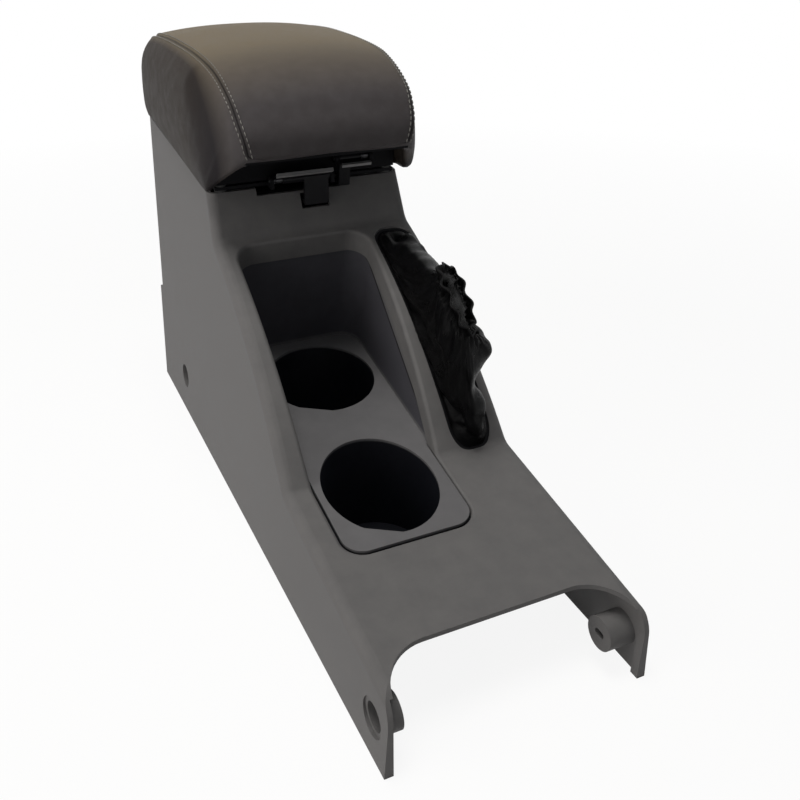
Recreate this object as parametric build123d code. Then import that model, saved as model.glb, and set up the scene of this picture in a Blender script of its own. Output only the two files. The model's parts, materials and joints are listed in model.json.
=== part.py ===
from build123d import *
from math import atan2, copysign, cos, degrees, hypot, pi, radians, sin, tan
import os

# Frame: +Z up, +Y to the rear of the car, +X to the right seat. Side views are written as (station, height),
# where a station is the distance behind the leg tips. Lid views are written as (reach, rise): how far in front
# of the hinge axis, and how far above it, square to the sloping lid.

# Console shell
WALL = 3.0
FLOOR_HALF_FRONT = 81.3
FLOOR_HALF_REAR = 86.9
SIDE_DRAFT = 3.95
DECK_FRONT_Z = 49.5
RAMP_FOOT_S, RAMP_FOOT_Z = 153.0, 73.5
RAMP_HEAD_S, RAMP_HEAD_Z = 298.0, 185.5
RAMP_BULGE = 12.0
FRONT_WALL_LEAN = 22.1
REAR_FLOOR_S = 493.0
REAR_STEP_S, REAR_STEP_Z = 495.0, 86.0
REAR_STEP_DEPTH, REAR_STEP_RISE = 9.0, 3.0
REAR_UPPER_LEAN = 2.55
LEG_CORNER_R = 20.0
LEG_CORNER_RISE = 3.0
CREASE_R = 8.0
SHOULDER_R = 6.5

# Front arch and its two screw legs
ARCH_HALF = 73.5
ARCH_DEPTH = 31.0
ARCH_CORNER_R = 28.0
LEG_LIP = 6.0
LEG_LIP_HALF = 76.0
LEG_SOCKET_S, LEG_SOCKET_Z = 18.3, 25.0
LEG_SOCKET_R = 8.4
LEG_BOSS_R = 10.6
LEG_BOSS_LEFT_X, LEG_BOSS_RIGHT_X = 66.5, 60.0
LEG_BOSS_FLOOR = 2.5
LEG_SLOT_LENGTH, LEG_SLOT_WIDTH = 8.0, 4.5
LEG_RIM_R, LEG_RIM_DEPTH = 11.2, 1.2
REAR_HOLE_S, REAR_HOLE_Z = 411.6, 33.7
REAR_HOLE_R = 10.0
REAR_BOSS_R, REAR_BOSS_INNER_X = 12.6, 79.7

# Pocket and cup holder insert
POCKET_FROM_SIDE = 11.3
POCKET_RIGHT_FRONT_X = 23.4
POCKET_RIGHT_REAR_X = 28.2
POCKET_RIGHT_DRAFT = 4.6
POCKET_FRONT_S = 94.5
POCKET_RIM_REAR_S = 292.0
POCKET_FLOOR_REAR_S = 306.0
POCKET_CORNER_R = 14.0
POCKET_FLANGE = 16.0
POCKET_RIM_R = 2.4
INSERT_WALL = 2.5
INSERT_GAP = 1.0
INSERT_FLANGE = 8.0
INSERT_FLANGE_REAR_S = 144.0
# Each cup well: distance from the pocket's left edge, station, half its width, half its length
CUP_WELLS = ((41.1, 144.0, 36.2, 43.0), (46.2, 259.0, 38.0, 39.4))
CUP_TAPER = 2.5
CUP_DEPTH = 60.0
CUP_TAB_REACH, CUP_TAB_THICK, CUP_TAB_SINK = 3.4, 5.0, 0.8
CUP_TAB_TURN = 28.0
INSERT_SCREW_S = (112.0, 138.0)

# Hand-brake slot, boot and boot frame
SLOT_FRONT_S, SLOT_REAR_S = 152.0, 290.5
SLOT_WIDTH, SLOT_CORNER_R = 29.5, 12.0
SLOT_FROM_SIDE = 21.06
FRAME_GAP = 0.25
FRAME_WALL = 1.8
FRAME_DEPTH = 13.0
FRAME_SINK = 1.0
FRAME_FLANGE = 3.5
FRAME_FLANGE_THICK = 2.0
BOOT_WALL = 1.5
BOOT_WEB = 4.0
BOOT_FOLDS = 9
# Each stage of the boot: height above the slot's chord, front and rear ends along it, width, gathers, roll
BOOT_STAGES = (
    (-7.0, -84.0, 74.0, 17.0, 0.0, 0.0),
    (6.0, -78.0, 74.0, 18.0, 0.0, 0.0),
    (18.0, -77.0, 64.0, 23.0, 0.0, 3.0),
    (32.0, -67.0, 46.0, 27.0, 0.01, 8.0),
    (46.0, -57.0, 27.0, 28.0, 0.02, 16.0),
    (57.0, -44.0, 14.0, 27.0, 0.04, 24.0),
    (64.0, -34.0, 8.0, 26.0, 0.06, 30.0),
)

# Hinge and lid stack
HINGE_S, HINGE_Z = 490.0, 238.0
LID_TILT = 5.5
BODY_TOP_RISE = -5.0
PIN_R = 2.5
RUNNING = 0.05
BARREL_R = 5.0
PIN_HALF = 49.0
EAR_X, EAR_THICK = 46.0, 2.5
TRAY_BARREL_X, LID_BARREL_X, BARREL_WIDTH = 38.0, 28.0, 7.0
BARREL_CLEAR = 8.0
HINGE_NOTCH_HALF = 52.0
HINGE_NOTCH_Z = 224.0
BRACKET_HALF, BRACKET_THICK = 47.25, 2.0
BRACKET_LOW_Z, BRACKET_HIGH_Z = 186.0, 222.0
BRACKET_SCREW_X = 30.0
BRACKET_SCREW_Z = (194.0, 212.0)

# Upper tray
TRAY_HALF = 65.0
TRAY_FRONT = 181.0
TRAY_PLATE_LOW, TRAY_PLATE_HIGH = -3.5, -1.3
TRAY_WALL = 2.2
BOWL_HALF = 54.0
BOWL_REAR, BOWL_FRONT = 24.0, 157.0
BOWL_LOW = -27.0
BOWL_CORNER_R = 12.0

# Lid base and pad
LID_HALF = 66.0
LID_LOW, LID_HIGH = 0.0, 2.5
LID_FRONT = 180.5
LID_NOSE = 226.0
LID_NOSE_HALF, LID_NOSE_TAPER = 55.0, 194.0
LID_CEILING_REAR, LID_CEILING_FRONT = 21.5, 28.0
PAD_HALF = 74.0
PAD_EDGE_R = 18.0
PAD_EDGE_STEPS = 5
PAD_STEPS = 24
PAD_FLAP_GAP = 0.5
PAD_FLAP_RISE = -0.9
PAD_FLAP_TIP = 191.0
PAD_HINGE_ROOM = 6.5
PAD_TOP_Z = 306.5
PAD_REAR_S = 496.0
PAD_NOSE_S, PAD_NOSE_Z = 256.5, 262.0
PAD_LIP_S, PAD_LIP_Z = 259.0, 247.0
PAD_SCREW_X = 48.0
PAD_SCREW_REACH = (32.0, 148.0)

# Latches
LATCH_REACH = 187.0
TRAY_LATCH_RISE, LID_LATCH_RISE = 1.5, 12.0
LATCH_PIN_R = 1.5
LATCH_HUB_R = 3.0
LUG_R, LUG_THICK = 3.4, 2.5
LUG_FOOT = 183.6
LATCH_SIDE_GAP = 0.5
SPRING_ROOM = 6.0
SPRING_WIRE_R = 0.4
SPRING_COIL_R = 1.92
SPRING_TURNS = 5
PADDLE_THICK = 2.2
PADDLE_CLEAR = 4.2
TRAY_PADDLE = (-26.0, 14.0)
TRAY_PADDLE_TIP = (196.0, 8.2)
LID_PADDLE = (21.0, 42.5)
LID_PADDLE_TIP = (195.0, 8.6)
HOOK_THICK = 2.9
TRAY_HOOK = (-5.0, 12.5)
TRAY_HOOK_DROP, TRAY_HOOK_TIP = -17.2, 181.0
TRAY_HOOK_STANCE = 1.3
LID_HOOK = (21.0, 29.0)
LID_HOOK_DROP, LID_HOOK_TIP = -7.0, 177.5
LID_HOOK_STANCE = -1.45
HOOK_NOSE = 3.0
CATCH_SLOT_X = (-6.5, 14.0)
CATCH_SLOT_Z = (199.5, 209.5)
DIP_X = (-37.0, 31.0)
DIP_Z = 211.0

# Storage bin and its ledge
LEDGE_RISE, LEDGE_THICK = -14.0, 2.5
BIN_FLANGE_THICK = 2.2
BIN_WALL = 2.2
BIN_HALF = 57.0
BIN_REAR, BIN_FRONT = 20.0, 166.0
BIN_FLANGE_WIDTH = 6.0
BIN_LOW = -120.0
BIN_CORNER_R = 10.0
BIN_GAP = 0.5

# Small parts
SCREW_R = 1.5
SCREW_HEAD_R, SCREW_HEAD_HEIGHT = 3.6, 1.8
BOSS_R = 2.6
BUFFER_R, BUFFER_STEM_R = 4.0, 2.0
BUFFER_X, BUFFER_INSET = 60.5, 4.0

# How far helper solids reach past what they cut
BEYOND = 60.0
THROUGH = 600.0

DECK_ANGLE = degrees(atan2(RAMP_FOOT_Z - DECK_FRONT_Z, RAMP_FOOT_S))
RAMP_TILT = degrees(atan2(RAMP_HEAD_Z - RAMP_FOOT_Z, RAMP_HEAD_S - RAMP_FOOT_S))
BUFFER_REACH = TRAY_FRONT - BUFFER_INSET
TO_LID = Pos(0, HINGE_S, HINGE_Z) * Rot(LID_TILT, 0, 0)
DECK = Plane(origin=(0, 0, DECK_FRONT_Z), x_dir=(1, 0, 0), z_dir=(0, -tan(radians(DECK_ANGLE)), 1))


def deck_z(station):
    """Height of the deck's upper face at a station."""
    return DECK_FRONT_Z + station * tan(radians(DECK_ANGLE))


def rise_of(station, height):
    """Rise above the hinge axis, square to the lid, of a point in the side view."""
    tilt = radians(LID_TILT)
    return (height - HINGE_Z) * cos(tilt) - (station - HINGE_S) * sin(tilt)


def lid_to_side(reach, rise):
    """Station and height of a point of the lid view."""
    tilt = radians(LID_TILT)
    return (HINGE_S - reach * cos(tilt) - rise * sin(tilt), HINGE_Z - reach * sin(tilt) + rise * cos(tilt))


def climb(start, lean, rise):
    """The point where a line from start, leaning to the rear by lean degrees, meets a rise of the lid view."""
    run = (rise - rise_of(*start)) / cos(radians(LID_TILT + lean))
    return (start[0] + run * sin(radians(lean)), start[1] + run * cos(radians(lean)))


def across(outline, low, high):
    """A side-view outline given a thickness across the car."""
    return extrude(Plane.YZ.offset(low) * outline, high - low)


def lid_polygon(*points):
    """A closed outline in the lid view."""
    return make_face(Polyline(*[(-reach, rise) for reach, rise in points], close=True))


def upright(outline, low, high):
    """A plan outline raised between two heights."""
    return extrude(Pos(0, 0, low) * outline, high - low)


def block(x, s, z):
    """A box between limits along each axis."""
    size = [high - low for low, high in (x, s, z)]
    return Pos(*[(low + high) / 2 for low, high in (x, s, z)]) * Box(*size)


def barrel(radius, low, high, reach=0.0, rise=0.0):
    """A cylinder across the car in the lid view."""
    return Pos((low + high) / 2, -reach, rise) * Rot(0, 90, 0) * Cylinder(radius, high - low)


def screw(length):
    """A pan-head screw, its head's seat at the origin and its shank towards +Z."""
    head = Pos(0, 0, -SCREW_HEAD_HEIGHT / 2) * Cylinder(SCREW_HEAD_R, SCREW_HEAD_HEIGHT)
    head = fillet(head.edges().sort_by(Axis.Z)[0], SCREW_HEAD_HEIGHT / 2)
    recess = Pos(0, 0, -SCREW_HEAD_HEIGHT) * (Box(3.6, 0.9, 2) + Box(0.9, 3.6, 2))
    return head + Pos(0, 0, length / 2) * Cylinder(SCREW_R, length) - recess


# Console shell

REAR_STEP_TOP = (REAR_STEP_S - REAR_STEP_DEPTH, REAR_STEP_Z + REAR_STEP_RISE)


def shell_outline(front_low, front_high, floor_rear, top_rise):
    """Side outline of the console: deck, bulged ramp, leaning box wall, sloping top and stepped rear."""
    foot, head = (RAMP_FOOT_S, RAMP_FOOT_Z), (RAMP_HEAD_S, RAMP_HEAD_Z)
    wall_top = climb(head, FRONT_WALL_LEAN, top_rise)
    rear_top = climb(REAR_STEP_TOP, REAR_UPPER_LEAN, top_rise)
    lower = Polyline(front_low, front_high, foot)
    ramp = SagittaArc(foot, head, RAMP_BULGE)
    upper = Polyline(head, wall_top, rear_top, REAR_STEP_TOP, (REAR_STEP_S, REAR_STEP_Z), floor_rear, front_low)
    outline = make_face(lower.edges() + ramp.edges() + upper.edges())
    for crease in (foot, head):
        outline = fillet(outline.vertices().sort_by_distance(crease)[0], CREASE_R)
    return outline


def half_width(station, height):
    """Half the console's width outside, which runs out to the rear and in towards the top."""
    taper = (FLOOR_HALF_REAR - FLOOR_HALF_FRONT) / REAR_FLOOR_S
    return FLOOR_HALF_FRONT + taper * station - height * tan(radians(SIDE_DRAFT))


POCKET_LEFT_X = POCKET_FROM_SIDE - half_width(POCKET_RIM_REAR_S, RAMP_HEAD_Z)


def between_sides(outline, inset):
    """A side outline extruded across the car and trimmed to the two drafted side walls."""
    ends = []
    for station in (-2 * BEYOND, THROUGH + 3 * BEYOND):
        low, high = (half_width(station, z) - inset / cos(radians(SIDE_DRAFT)) for z in (-2 * BEYOND, THROUGH))
        corners = ((-low, -2 * BEYOND), (low, -2 * BEYOND), (high, THROUGH), (-high, THROUGH))
        ends.append(Plane(origin=(0, station, 0), x_dir=(1, 0, 0), z_dir=(0, -1, 0)) * make_face(
            Polyline(*corners, close=True)))
    return loft(ends, ruled=True) & across(outline, -2 * FLOOR_HALF_REAR, 2 * FLOOR_HALF_REAR)


def shell_outside():
    """The console's outer form: its long shoulders rounded, then the legs' upright fronts cut, round at the top."""
    ahead = -BEYOND
    solid = between_sides(shell_outline((ahead, 0), (ahead, deck_z(ahead)), (REAR_FLOOR_S, 0), BODY_TOP_RISE), 0)
    box_top = climb((RAMP_HEAD_S, RAMP_HEAD_Z), FRONT_WALL_LEAN, BODY_TOP_RISE)
    shoulders = [
        edge for edge in solid.edges()
        if abs(edge.center().X) > ARCH_HALF * 0.8
        and edge.center().Z > DECK_FRONT_Z * 0.75
        and edge.center().Y < box_top[0]
    ]
    solid = fillet(shoulders, SHOULDER_R)
    corner = (0, DECK_FRONT_Z)
    front = make_face(Polyline(
        (2 * ahead, ahead), (0, ahead), corner, (RAMP_FOOT_S, RAMP_FOOT_Z + LEG_CORNER_RISE),
        (RAMP_FOOT_S, THROUGH), (2 * ahead, THROUGH), close=True))
    front = fillet(front.vertices().sort_by_distance(corner)[0], LEG_CORNER_R)
    return solid - across(front, -2 * FLOOR_HALF_REAR, 2 * FLOOR_HALF_REAR)


def shell_cavity():
    """The hollow under the console, open below, in front and at the box's mouth."""
    ahead = -BEYOND
    outline = shell_outline((ahead, -BEYOND), (ahead, deck_z(ahead)), (REAR_FLOOR_S, -BEYOND), BEYOND / 2)
    return between_sides(offset(outline, -WALL, kind=Kind.INTERSECTION), WALL)


def pocket_right_x(station, above_deck=0.0):
    """The pocket's right edge, which runs out towards the rear and leans out above the tray plate."""
    share = (station - POCKET_FRONT_S) / (POCKET_FLOOR_REAR_S - POCKET_FRONT_S)
    foot = POCKET_RIGHT_FRONT_X + share * (POCKET_RIGHT_REAR_X - POCKET_RIGHT_FRONT_X)
    return foot + above_deck * tan(radians(POCKET_RIGHT_DRAFT))


def pocket(grow):
    """The pocket's inside as a solid through deck and ramp, grown all round; its rear and right walls lean."""
    low_z, high_z = deck_z(0), RAMP_HEAD_Z + BEYOND / 2
    lean = (POCKET_FLOOR_REAR_S - POCKET_RIM_REAR_S) / (RAMP_HEAD_Z - deck_z(POCKET_FLOOR_REAR_S))
    sections = []
    for height in (low_z, high_z):
        rear = POCKET_RIM_REAR_S + (RAMP_HEAD_Z - height) * lean
        corners = (
            (POCKET_LEFT_X, POCKET_FRONT_S),
            (pocket_right_x(POCKET_FRONT_S, height - deck_z(POCKET_FRONT_S)), POCKET_FRONT_S),
            (pocket_right_x(rear, height - deck_z(rear)), rear),
            (POCKET_LEFT_X, rear),
        )
        outline = make_face(Polyline(*corners, close=True))
        outline = fillet(outline.vertices(), POCKET_CORNER_R)
        if grow:
            outline = offset(outline, grow)
        sections.append(Pos(0, 0, height) * outline)
    return loft(sections, ruled=True)


def slot_middle():
    """Middle of the hand-brake slot in plan, set in from the console's right side."""
    station = (SLOT_FRONT_S + SLOT_REAR_S) / 2
    return (half_width(station, ramp_top(station)) - SLOT_FROM_SIDE, station)


def slot_outline(grow):
    """Plan of the hand-brake slot."""
    length = SLOT_REAR_S - SLOT_FRONT_S
    return Pos(*slot_middle()) * RectangleRounded(SLOT_WIDTH + 2 * grow, length + 2 * grow, SLOT_CORNER_R + grow)


def insert_screw_places():
    """Seats of the insert's screws in plan, beside the tray plate."""
    middle = INSERT_FLANGE * 0.55
    for station in INSERT_SCREW_S:
        yield (POCKET_LEFT_X - middle, station)
        yield (pocket_right_x(station) + middle, station)


def on_deck(x, station, sink):
    """A place square to the deck, sunk below its upper face."""
    return Pos(x, station, deck_z(station)) * Rot(DECK_ANGLE, 0, 0) * Pos(0, 0, -sink)


def bin_frame(grow, low, high):
    """A slab with the bin's plan, in the lid view."""
    outline = Pos(0, -(BIN_REAR + BIN_FRONT) / 2) * RectangleRounded(
        2 * (BIN_HALF + grow), BIN_FRONT - BIN_REAR + 2 * grow, BIN_CORNER_R + grow)
    return upright(outline, low, high)


def bin_screw_places():
    """Seats of the bin's screws on its flange, in the lid view."""
    inset = BIN_FLANGE_WIDTH / 2
    for side in (-1, 1):
        for share in (0.2, 0.8):
            yield (side * (BIN_HALF + inset), -(BIN_REAR + share * (BIN_FRONT - BIN_REAR)))


def make_console_body():
    """The grey moulded shell: everything but the insert, boot, bin and armrest."""
    outside, cavity = shell_outside(), shell_cavity()
    body = outside - cavity

    legs = outside & block((-BEYOND * 2, BEYOND * 2), (-BEYOND, LEG_LIP), (-1, DECK_FRONT_Z))
    body += legs - block((-LEG_LIP_HALF, LEG_LIP_HALF), (-BEYOND, BEYOND), (-BEYOND, BEYOND))
    arch = Pos(0, ARCH_DEPTH - BEYOND) * RectangleRounded(2 * ARCH_HALF, 2 * BEYOND, ARCH_CORNER_R)
    body -= upright(arch, -1, DECK_FRONT_Z + BEYOND)

    flange = (pocket(WALL) & outside) - Pos(0, 0, -POCKET_FLANGE) * outside
    body += flange & block((-THROUGH, THROUGH), (RAMP_FOOT_S - CREASE_R, THROUGH), (0, THROUGH))
    body -= pocket(0)
    body -= upright(slot_outline(0), RAMP_FOOT_Z - WALL * 4, THROUGH)
    body = fillet([edge for edge in body.edges() if is_pocket_rim(edge)], POCKET_RIM_R)
    body = add_leg_sockets(body, outside)
    body = add_rear_holes(body, outside)
    body = add_box_details(body, cavity)
    for x, station in insert_screw_places():
        post = on_deck(x, station, WALL + INSERT_WALL / 2) * Cylinder(BOSS_R, INSERT_WALL)
        body += post
        depth = INSERT_WALL + WALL / 2
        body -= on_deck(x, station, WALL + INSERT_WALL - depth / 2) * Cylinder(SCREW_R, depth)
    return body


def ramp_top(station):
    """Height of the shell's upper face, deck or ramp, at a station ahead of the box wall."""
    if station < RAMP_FOOT_S:
        return deck_z(station)
    run, climb_up = RAMP_HEAD_S - RAMP_FOOT_S, RAMP_HEAD_Z - RAMP_FOOT_Z
    chord = hypot(run, climb_up)
    radius = (chord / 2) ** 2 / (2 * RAMP_BULGE) + RAMP_BULGE / 2
    drop = radius - RAMP_BULGE
    centre_s = (RAMP_FOOT_S + RAMP_HEAD_S) / 2 + drop * climb_up / chord
    centre_z = (RAMP_FOOT_Z + RAMP_HEAD_Z) / 2 - drop * run / chord
    return centre_z + (radius ** 2 - (station - centre_s) ** 2) ** 0.5


def is_pocket_rim(edge):
    """Whether an edge lies on the shell's upper face, round the pocket."""
    middle = edge @ 0.5
    right = pocket_right_x(middle.Y, middle.Z - deck_z(middle.Y))
    if not (POCKET_LEFT_X - 1 < middle.X < right + 1 and POCKET_FRONT_S - 1 < middle.Y < POCKET_FLOOR_REAR_S + 1):
        return False
    return abs(middle.Z - ramp_top(middle.Y)) < CREASE_R / 4 and middle.Y < RAMP_HEAD_S - CREASE_R / 2


def bar(radius, low, high, seam):
    """A round bar along +Z between two heights, its seam line turned out of the way."""
    return Pos(0, 0, (low + high) / 2) * Rot(0, 0, seam) * Cylinder(radius, high - low)


def add_leg_sockets(body, outside):
    """Deep screw sockets in the two front legs, each with an oblong screw hole in its floor."""
    reach = FLOOR_HALF_FRONT + WALL
    skin = half_width(LEG_SOCKET_S, LEG_SOCKET_Z) - LEG_RIM_DEPTH
    for side, inner in ((-1, LEG_BOSS_LEFT_X), (1, LEG_BOSS_RIGHT_X)):
        place = Pos(0, LEG_SOCKET_S, LEG_SOCKET_Z) * Rot(0, side * 90, 0)
        body += place * bar(LEG_BOSS_R, inner, reach, 45) & outside
        body -= place * bar(LEG_RIM_R, skin, reach, 70)
        body -= place * bar(LEG_SOCKET_R, inner + LEG_BOSS_FLOOR, reach, 20)
        hole = Rot(0, 0, 90) * SlotOverall(LEG_SLOT_LENGTH, LEG_SLOT_WIDTH)
        body -= place * extrude(Pos(0, 0, inner - 1) * hole, LEG_BOSS_FLOOR + 2)
    return body


def add_rear_holes(body, outside):
    """Round holes low in the side walls near the rear, each with a flat ring behind it."""
    reach = FLOOR_HALF_REAR + WALL
    for side in (-1, 1):
        place = Pos(0, REAR_HOLE_S, REAR_HOLE_Z) * Rot(0, side * 90, 0)
        body += place * bar(REAR_BOSS_R, REAR_BOSS_INNER_X, reach, 45) & outside
        body -= place * bar(REAR_HOLE_R, REAR_BOSS_INNER_X - WALL, reach, 20)
    return body


def add_box_details(body, cavity):
    """The bin's ledge inside the box, the latch openings in its front wall and the hinge notch behind."""
    ledge_low = LEDGE_RISE - LEDGE_THICK
    ledge = TO_LID * upright(
        Pos(0, -TRAY_FRONT / 2) * Rectangle(4 * TRAY_HALF, 2 * TRAY_FRONT), ledge_low, LEDGE_RISE)
    ring = (ledge & cavity) - TO_LID * bin_frame(BIN_GAP, ledge_low - 1, LEDGE_RISE + 1)
    hinge_room = (HINGE_S - BEYOND / 4.5, THROUGH)
    ring -= block((-HINGE_NOTCH_HALF, HINGE_NOTCH_HALF), hinge_room, (RAMP_FOOT_Z, THROUGH))
    body += ring & block((-THROUGH, THROUGH), (RAMP_HEAD_S, THROUGH), (RAMP_FOOT_Z, THROUGH))
    for x, along in bin_screw_places():
        body -= TO_LID * Pos(x, along, ledge_low) * Cylinder(SCREW_R, 4 * LEDGE_THICK)
    wall_s = (RAMP_HEAD_S - WALL, RAMP_HEAD_S + BEYOND / 2)
    body -= block(CATCH_SLOT_X, wall_s, CATCH_SLOT_Z)
    body -= block(DIP_X, wall_s, (DIP_Z, THROUGH))
    body -= block((-HINGE_NOTCH_HALF, HINGE_NOTCH_HALF), (HINGE_S - BEYOND / 3, THROUGH), (HINGE_NOTCH_Z, THROUGH))
    for place in bracket_screw_places():
        body -= place * Pos(0, 0, BRACKET_THICK) * Cylinder(SCREW_R, 4 * WALL)
    return body


# Cup holder insert

def make_cup_holder_insert():
    """Tray plate flush with the deck, pocket walls that tuck under the ramp's flange, and two cup wells."""
    under_ramp = Pos(0, 0, -POCKET_FLANGE - INSERT_GAP / 2) * shell_outside()
    level = deck_slab(-INSERT_WALL, BEYOND * 3)
    above = deck_slab(0, BEYOND * 3)
    walls = (pocket(INSERT_GAP + INSERT_WALL) & under_ramp & level) - (pocket(INSERT_GAP) & above)
    plate = pocket(-INSERT_GAP) & deck_slab(-WALL - INSERT_WALL, 0)
    plate -= pocket(-INSERT_GAP - INSERT_WALL) & deck_slab(-2 * WALL - INSERT_WALL, -INSERT_WALL)
    rim = pocket(INSERT_FLANGE) & deck_slab(-WALL - INSERT_WALL, -WALL)
    rim -= pocket(-INSERT_GAP - INSERT_WALL)
    rim &= block((-THROUGH, THROUGH), (0, INSERT_FLANGE_REAR_S), (0, THROUGH))
    insert = plate + rim + walls
    for well in CUP_WELLS:
        insert += cup_well(*well, INSERT_WALL)
    for well in CUP_WELLS:
        insert -= cup_well(*well, 0)
        insert += cup_tab(*well)
    for x, station in insert_screw_places():
        insert -= on_deck(x, station, WALL + INSERT_WALL) * Cylinder(BOSS_R + RUNNING * 4, 4 * INSERT_WALL)
    return insert


def deck_slab(low, high):
    """Everything between two depths below or above the deck's upper face."""
    slab = Pos(0, RAMP_HEAD_S / 2, (low + high) / 2) * Box(THROUGH, 2 * RAMP_HEAD_S, high - low)
    return DECK.location * slab


def cup_well(from_left, station, half_across, half_along, grow):
    """A cup well's solid: a slightly tapered oval, upright, its floor level; grown to give the wall."""
    top, floor_z = deck_z(station + half_along), deck_z(station) - CUP_DEPTH - grow
    taper = CUP_TAPER * (top - floor_z) / CUP_DEPTH
    ovals = []
    for height, inset in ((floor_z, taper), (top, 0)):
        oval = Ellipse(half_across + grow - inset, half_along + grow - inset)
        ovals.append(Pos(POCKET_LEFT_X + from_left, station, height) * oval)
    return loft(ovals, ruled=True) & deck_slab(-THROUGH, 0 if grow else BEYOND)


def cup_tab(from_left, station, half_across, half_along):
    """A small ledge just under a well's near rim, cut off straight across the oval."""
    slab = deck_slab(-CUP_TAB_SINK - CUP_TAB_THICK, -CUP_TAB_SINK)
    turn = radians(CUP_TAB_TURN)
    edge = hypot(half_across * sin(turn), half_along * cos(turn))
    beyond = Pos(0, -edge, 0) * Box(2 * half_along, 2 * CUP_TAB_REACH, 2 * THROUGH)
    beyond = Pos(POCKET_LEFT_X + from_left, station, 0) * Rot(0, 0, -CUP_TAB_TURN) * beyond
    return slab & beyond & cup_well(from_left, station, half_across, half_along, INSERT_WALL / 2)


def make_insert_screws():
    """Screws that hold the insert's flange up against the deck."""
    screws = []
    for x, station in insert_screw_places():
        screws.append(on_deck(x, station, WALL + INSERT_WALL) * screw(INSERT_WALL + WALL / 2))
    return Compound(children=screws)


# Hand-brake boot and its frame

def make_boot_frame():
    """A black ring that fits the slot from below and holds the boot's hem; its flange bears under the ramp."""
    outside, cavity = shell_outside(), shell_cavity()
    band = Pos(0, 0, -FRAME_SINK) * outside - Pos(0, 0, -FRAME_DEPTH) * outside
    tall = (0, THROUGH)
    ring = upright(slot_outline(-FRAME_GAP), *tall) - upright(slot_outline(-FRAME_GAP - FRAME_WALL), *tall)
    lip = upright(slot_outline(FRAME_FLANGE), *tall) - upright(slot_outline(-FRAME_GAP - FRAME_WALL), *tall)
    lip = lip & cavity - Pos(0, 0, -FRAME_FLANGE_THICK * 1.3) * cavity
    lip -= pocket(WALL + INSERT_GAP)
    return (ring & band) + lip


def boot_section(height, front, rear, width, wave, roll, shrink):
    """A closed, softly squared outline across the boot, placed by its height above the slot's chord."""
    points = []
    count = BOOT_FOLDS * 4
    for step in range(count):
        turn = 2 * pi * step / count
        ripple = 1 + wave * cos(BOOT_FOLDS * turn)
        along = copysign(abs(cos(turn)) ** 0.7, cos(turn)) * ((rear - front) / 2 - shrink) * ripple
        sideways = copysign(abs(sin(turn)) ** 0.7, sin(turn)) * (width / 2 - shrink) * ripple
        points.append((sideways, along))
    chord = Pos(*slot_middle(), (RAMP_FOOT_Z + RAMP_HEAD_Z) / 2) * Rot(RAMP_TILT, 0, 0)
    return chord * Pos(0, (front + rear) / 2, height) * Rot(0, roll, 0) * make_face(Spline(*points, periodic=True))


def make_brake_boot():
    """Soft sleeve from its hem in the frame, over a web, up to a gathered mouth, open at both ends."""
    outer = loft([boot_section(*stage, 0) for stage in BOOT_STAGES])
    inner = loft([boot_section(*stage, BOOT_WALL) for stage in BOOT_STAGES])
    outside = shell_outside()
    tall = (0, THROUGH)
    inside = upright(slot_outline(-FRAME_GAP - FRAME_WALL), *tall)
    hem = inside - upright(slot_outline(-FRAME_GAP - FRAME_WALL - BOOT_WALL), *tall)
    hem &= Pos(0, 0, -FRAME_SINK) * outside - Pos(0, 0, -FRAME_DEPTH) * outside
    web = inside & (Pos(0, 0, -BOOT_WEB) * outside - Pos(0, 0, -BOOT_WEB - BOOT_WALL) * outside)
    return hem + web + outer - inner


# Hinge

def rear_inner(height):
    """Station of the box's rear wall, inside, at a height."""
    lean = radians(REAR_UPPER_LEAN)
    return REAR_STEP_TOP[0] + (height - REAR_STEP_TOP[1]) * tan(lean) - WALL / cos(lean)


def bracket_screw_places():
    """Seats of the bracket's screws on its front face, their shanks towards the rear."""
    for x in (-BRACKET_SCREW_X, BRACKET_SCREW_X):
        for height in BRACKET_SCREW_Z:
            face = rear_inner(height) - BRACKET_THICK / cos(radians(REAR_UPPER_LEAN))
            yield Pos(x, face, height) * Rot(-90 - REAR_UPPER_LEAN, 0, 0)


def make_hinge_bracket():
    """Pressed steel plate on the box's rear wall with an ear at each end for the hinge pin."""
    thick = BRACKET_THICK / cos(radians(REAR_UPPER_LEAN))
    low, high = BRACKET_LOW_Z, BRACKET_HIGH_Z
    plate_side = make_face(Polyline(
        (rear_inner(low), low), (rear_inner(high), high),
        (rear_inner(high) - thick, high), (rear_inner(low) - thick, low), close=True))
    bracket = across(plate_side, -BRACKET_HALF, BRACKET_HALF)
    waist = make_face(Polyline(
        (HINGE_S - BARREL_R, HINGE_Z), (HINGE_S, HINGE_Z), (rear_inner(high) - thick / 2, high),
        (rear_inner(low) - thick / 2, low), (rear_inner(low) - BARREL_R * 2, low + BARREL_R), close=True))
    for side in (-1, 1):
        middle = side * EAR_X
        bracket += across(waist, middle - EAR_THICK / 2, middle + EAR_THICK / 2)
        bracket += TO_LID * barrel(BARREL_R, middle - EAR_THICK / 2, middle + EAR_THICK / 2)
    bracket -= TO_LID * barrel(PIN_R, -PIN_HALF - 1, PIN_HALF + 1)
    for place in bracket_screw_places():
        bracket -= place * Cylinder(SCREW_R + RUNNING, 4 * BRACKET_THICK)
    return bracket


def make_hinge_pin():
    """Steel rod through all the hinge barrels, its ends chamfered."""
    rod = barrel(PIN_R, -PIN_HALF, PIN_HALF)
    return TO_LID * chamfer(rod.edges().filter_by(GeomType.CIRCLE), PIN_R / 5)


def make_hinge_screws():
    """Screws that hold the bracket to the rear wall."""
    return Compound(children=[place * screw(BRACKET_THICK + WALL * 0.9) for place in bracket_screw_places()])


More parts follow.
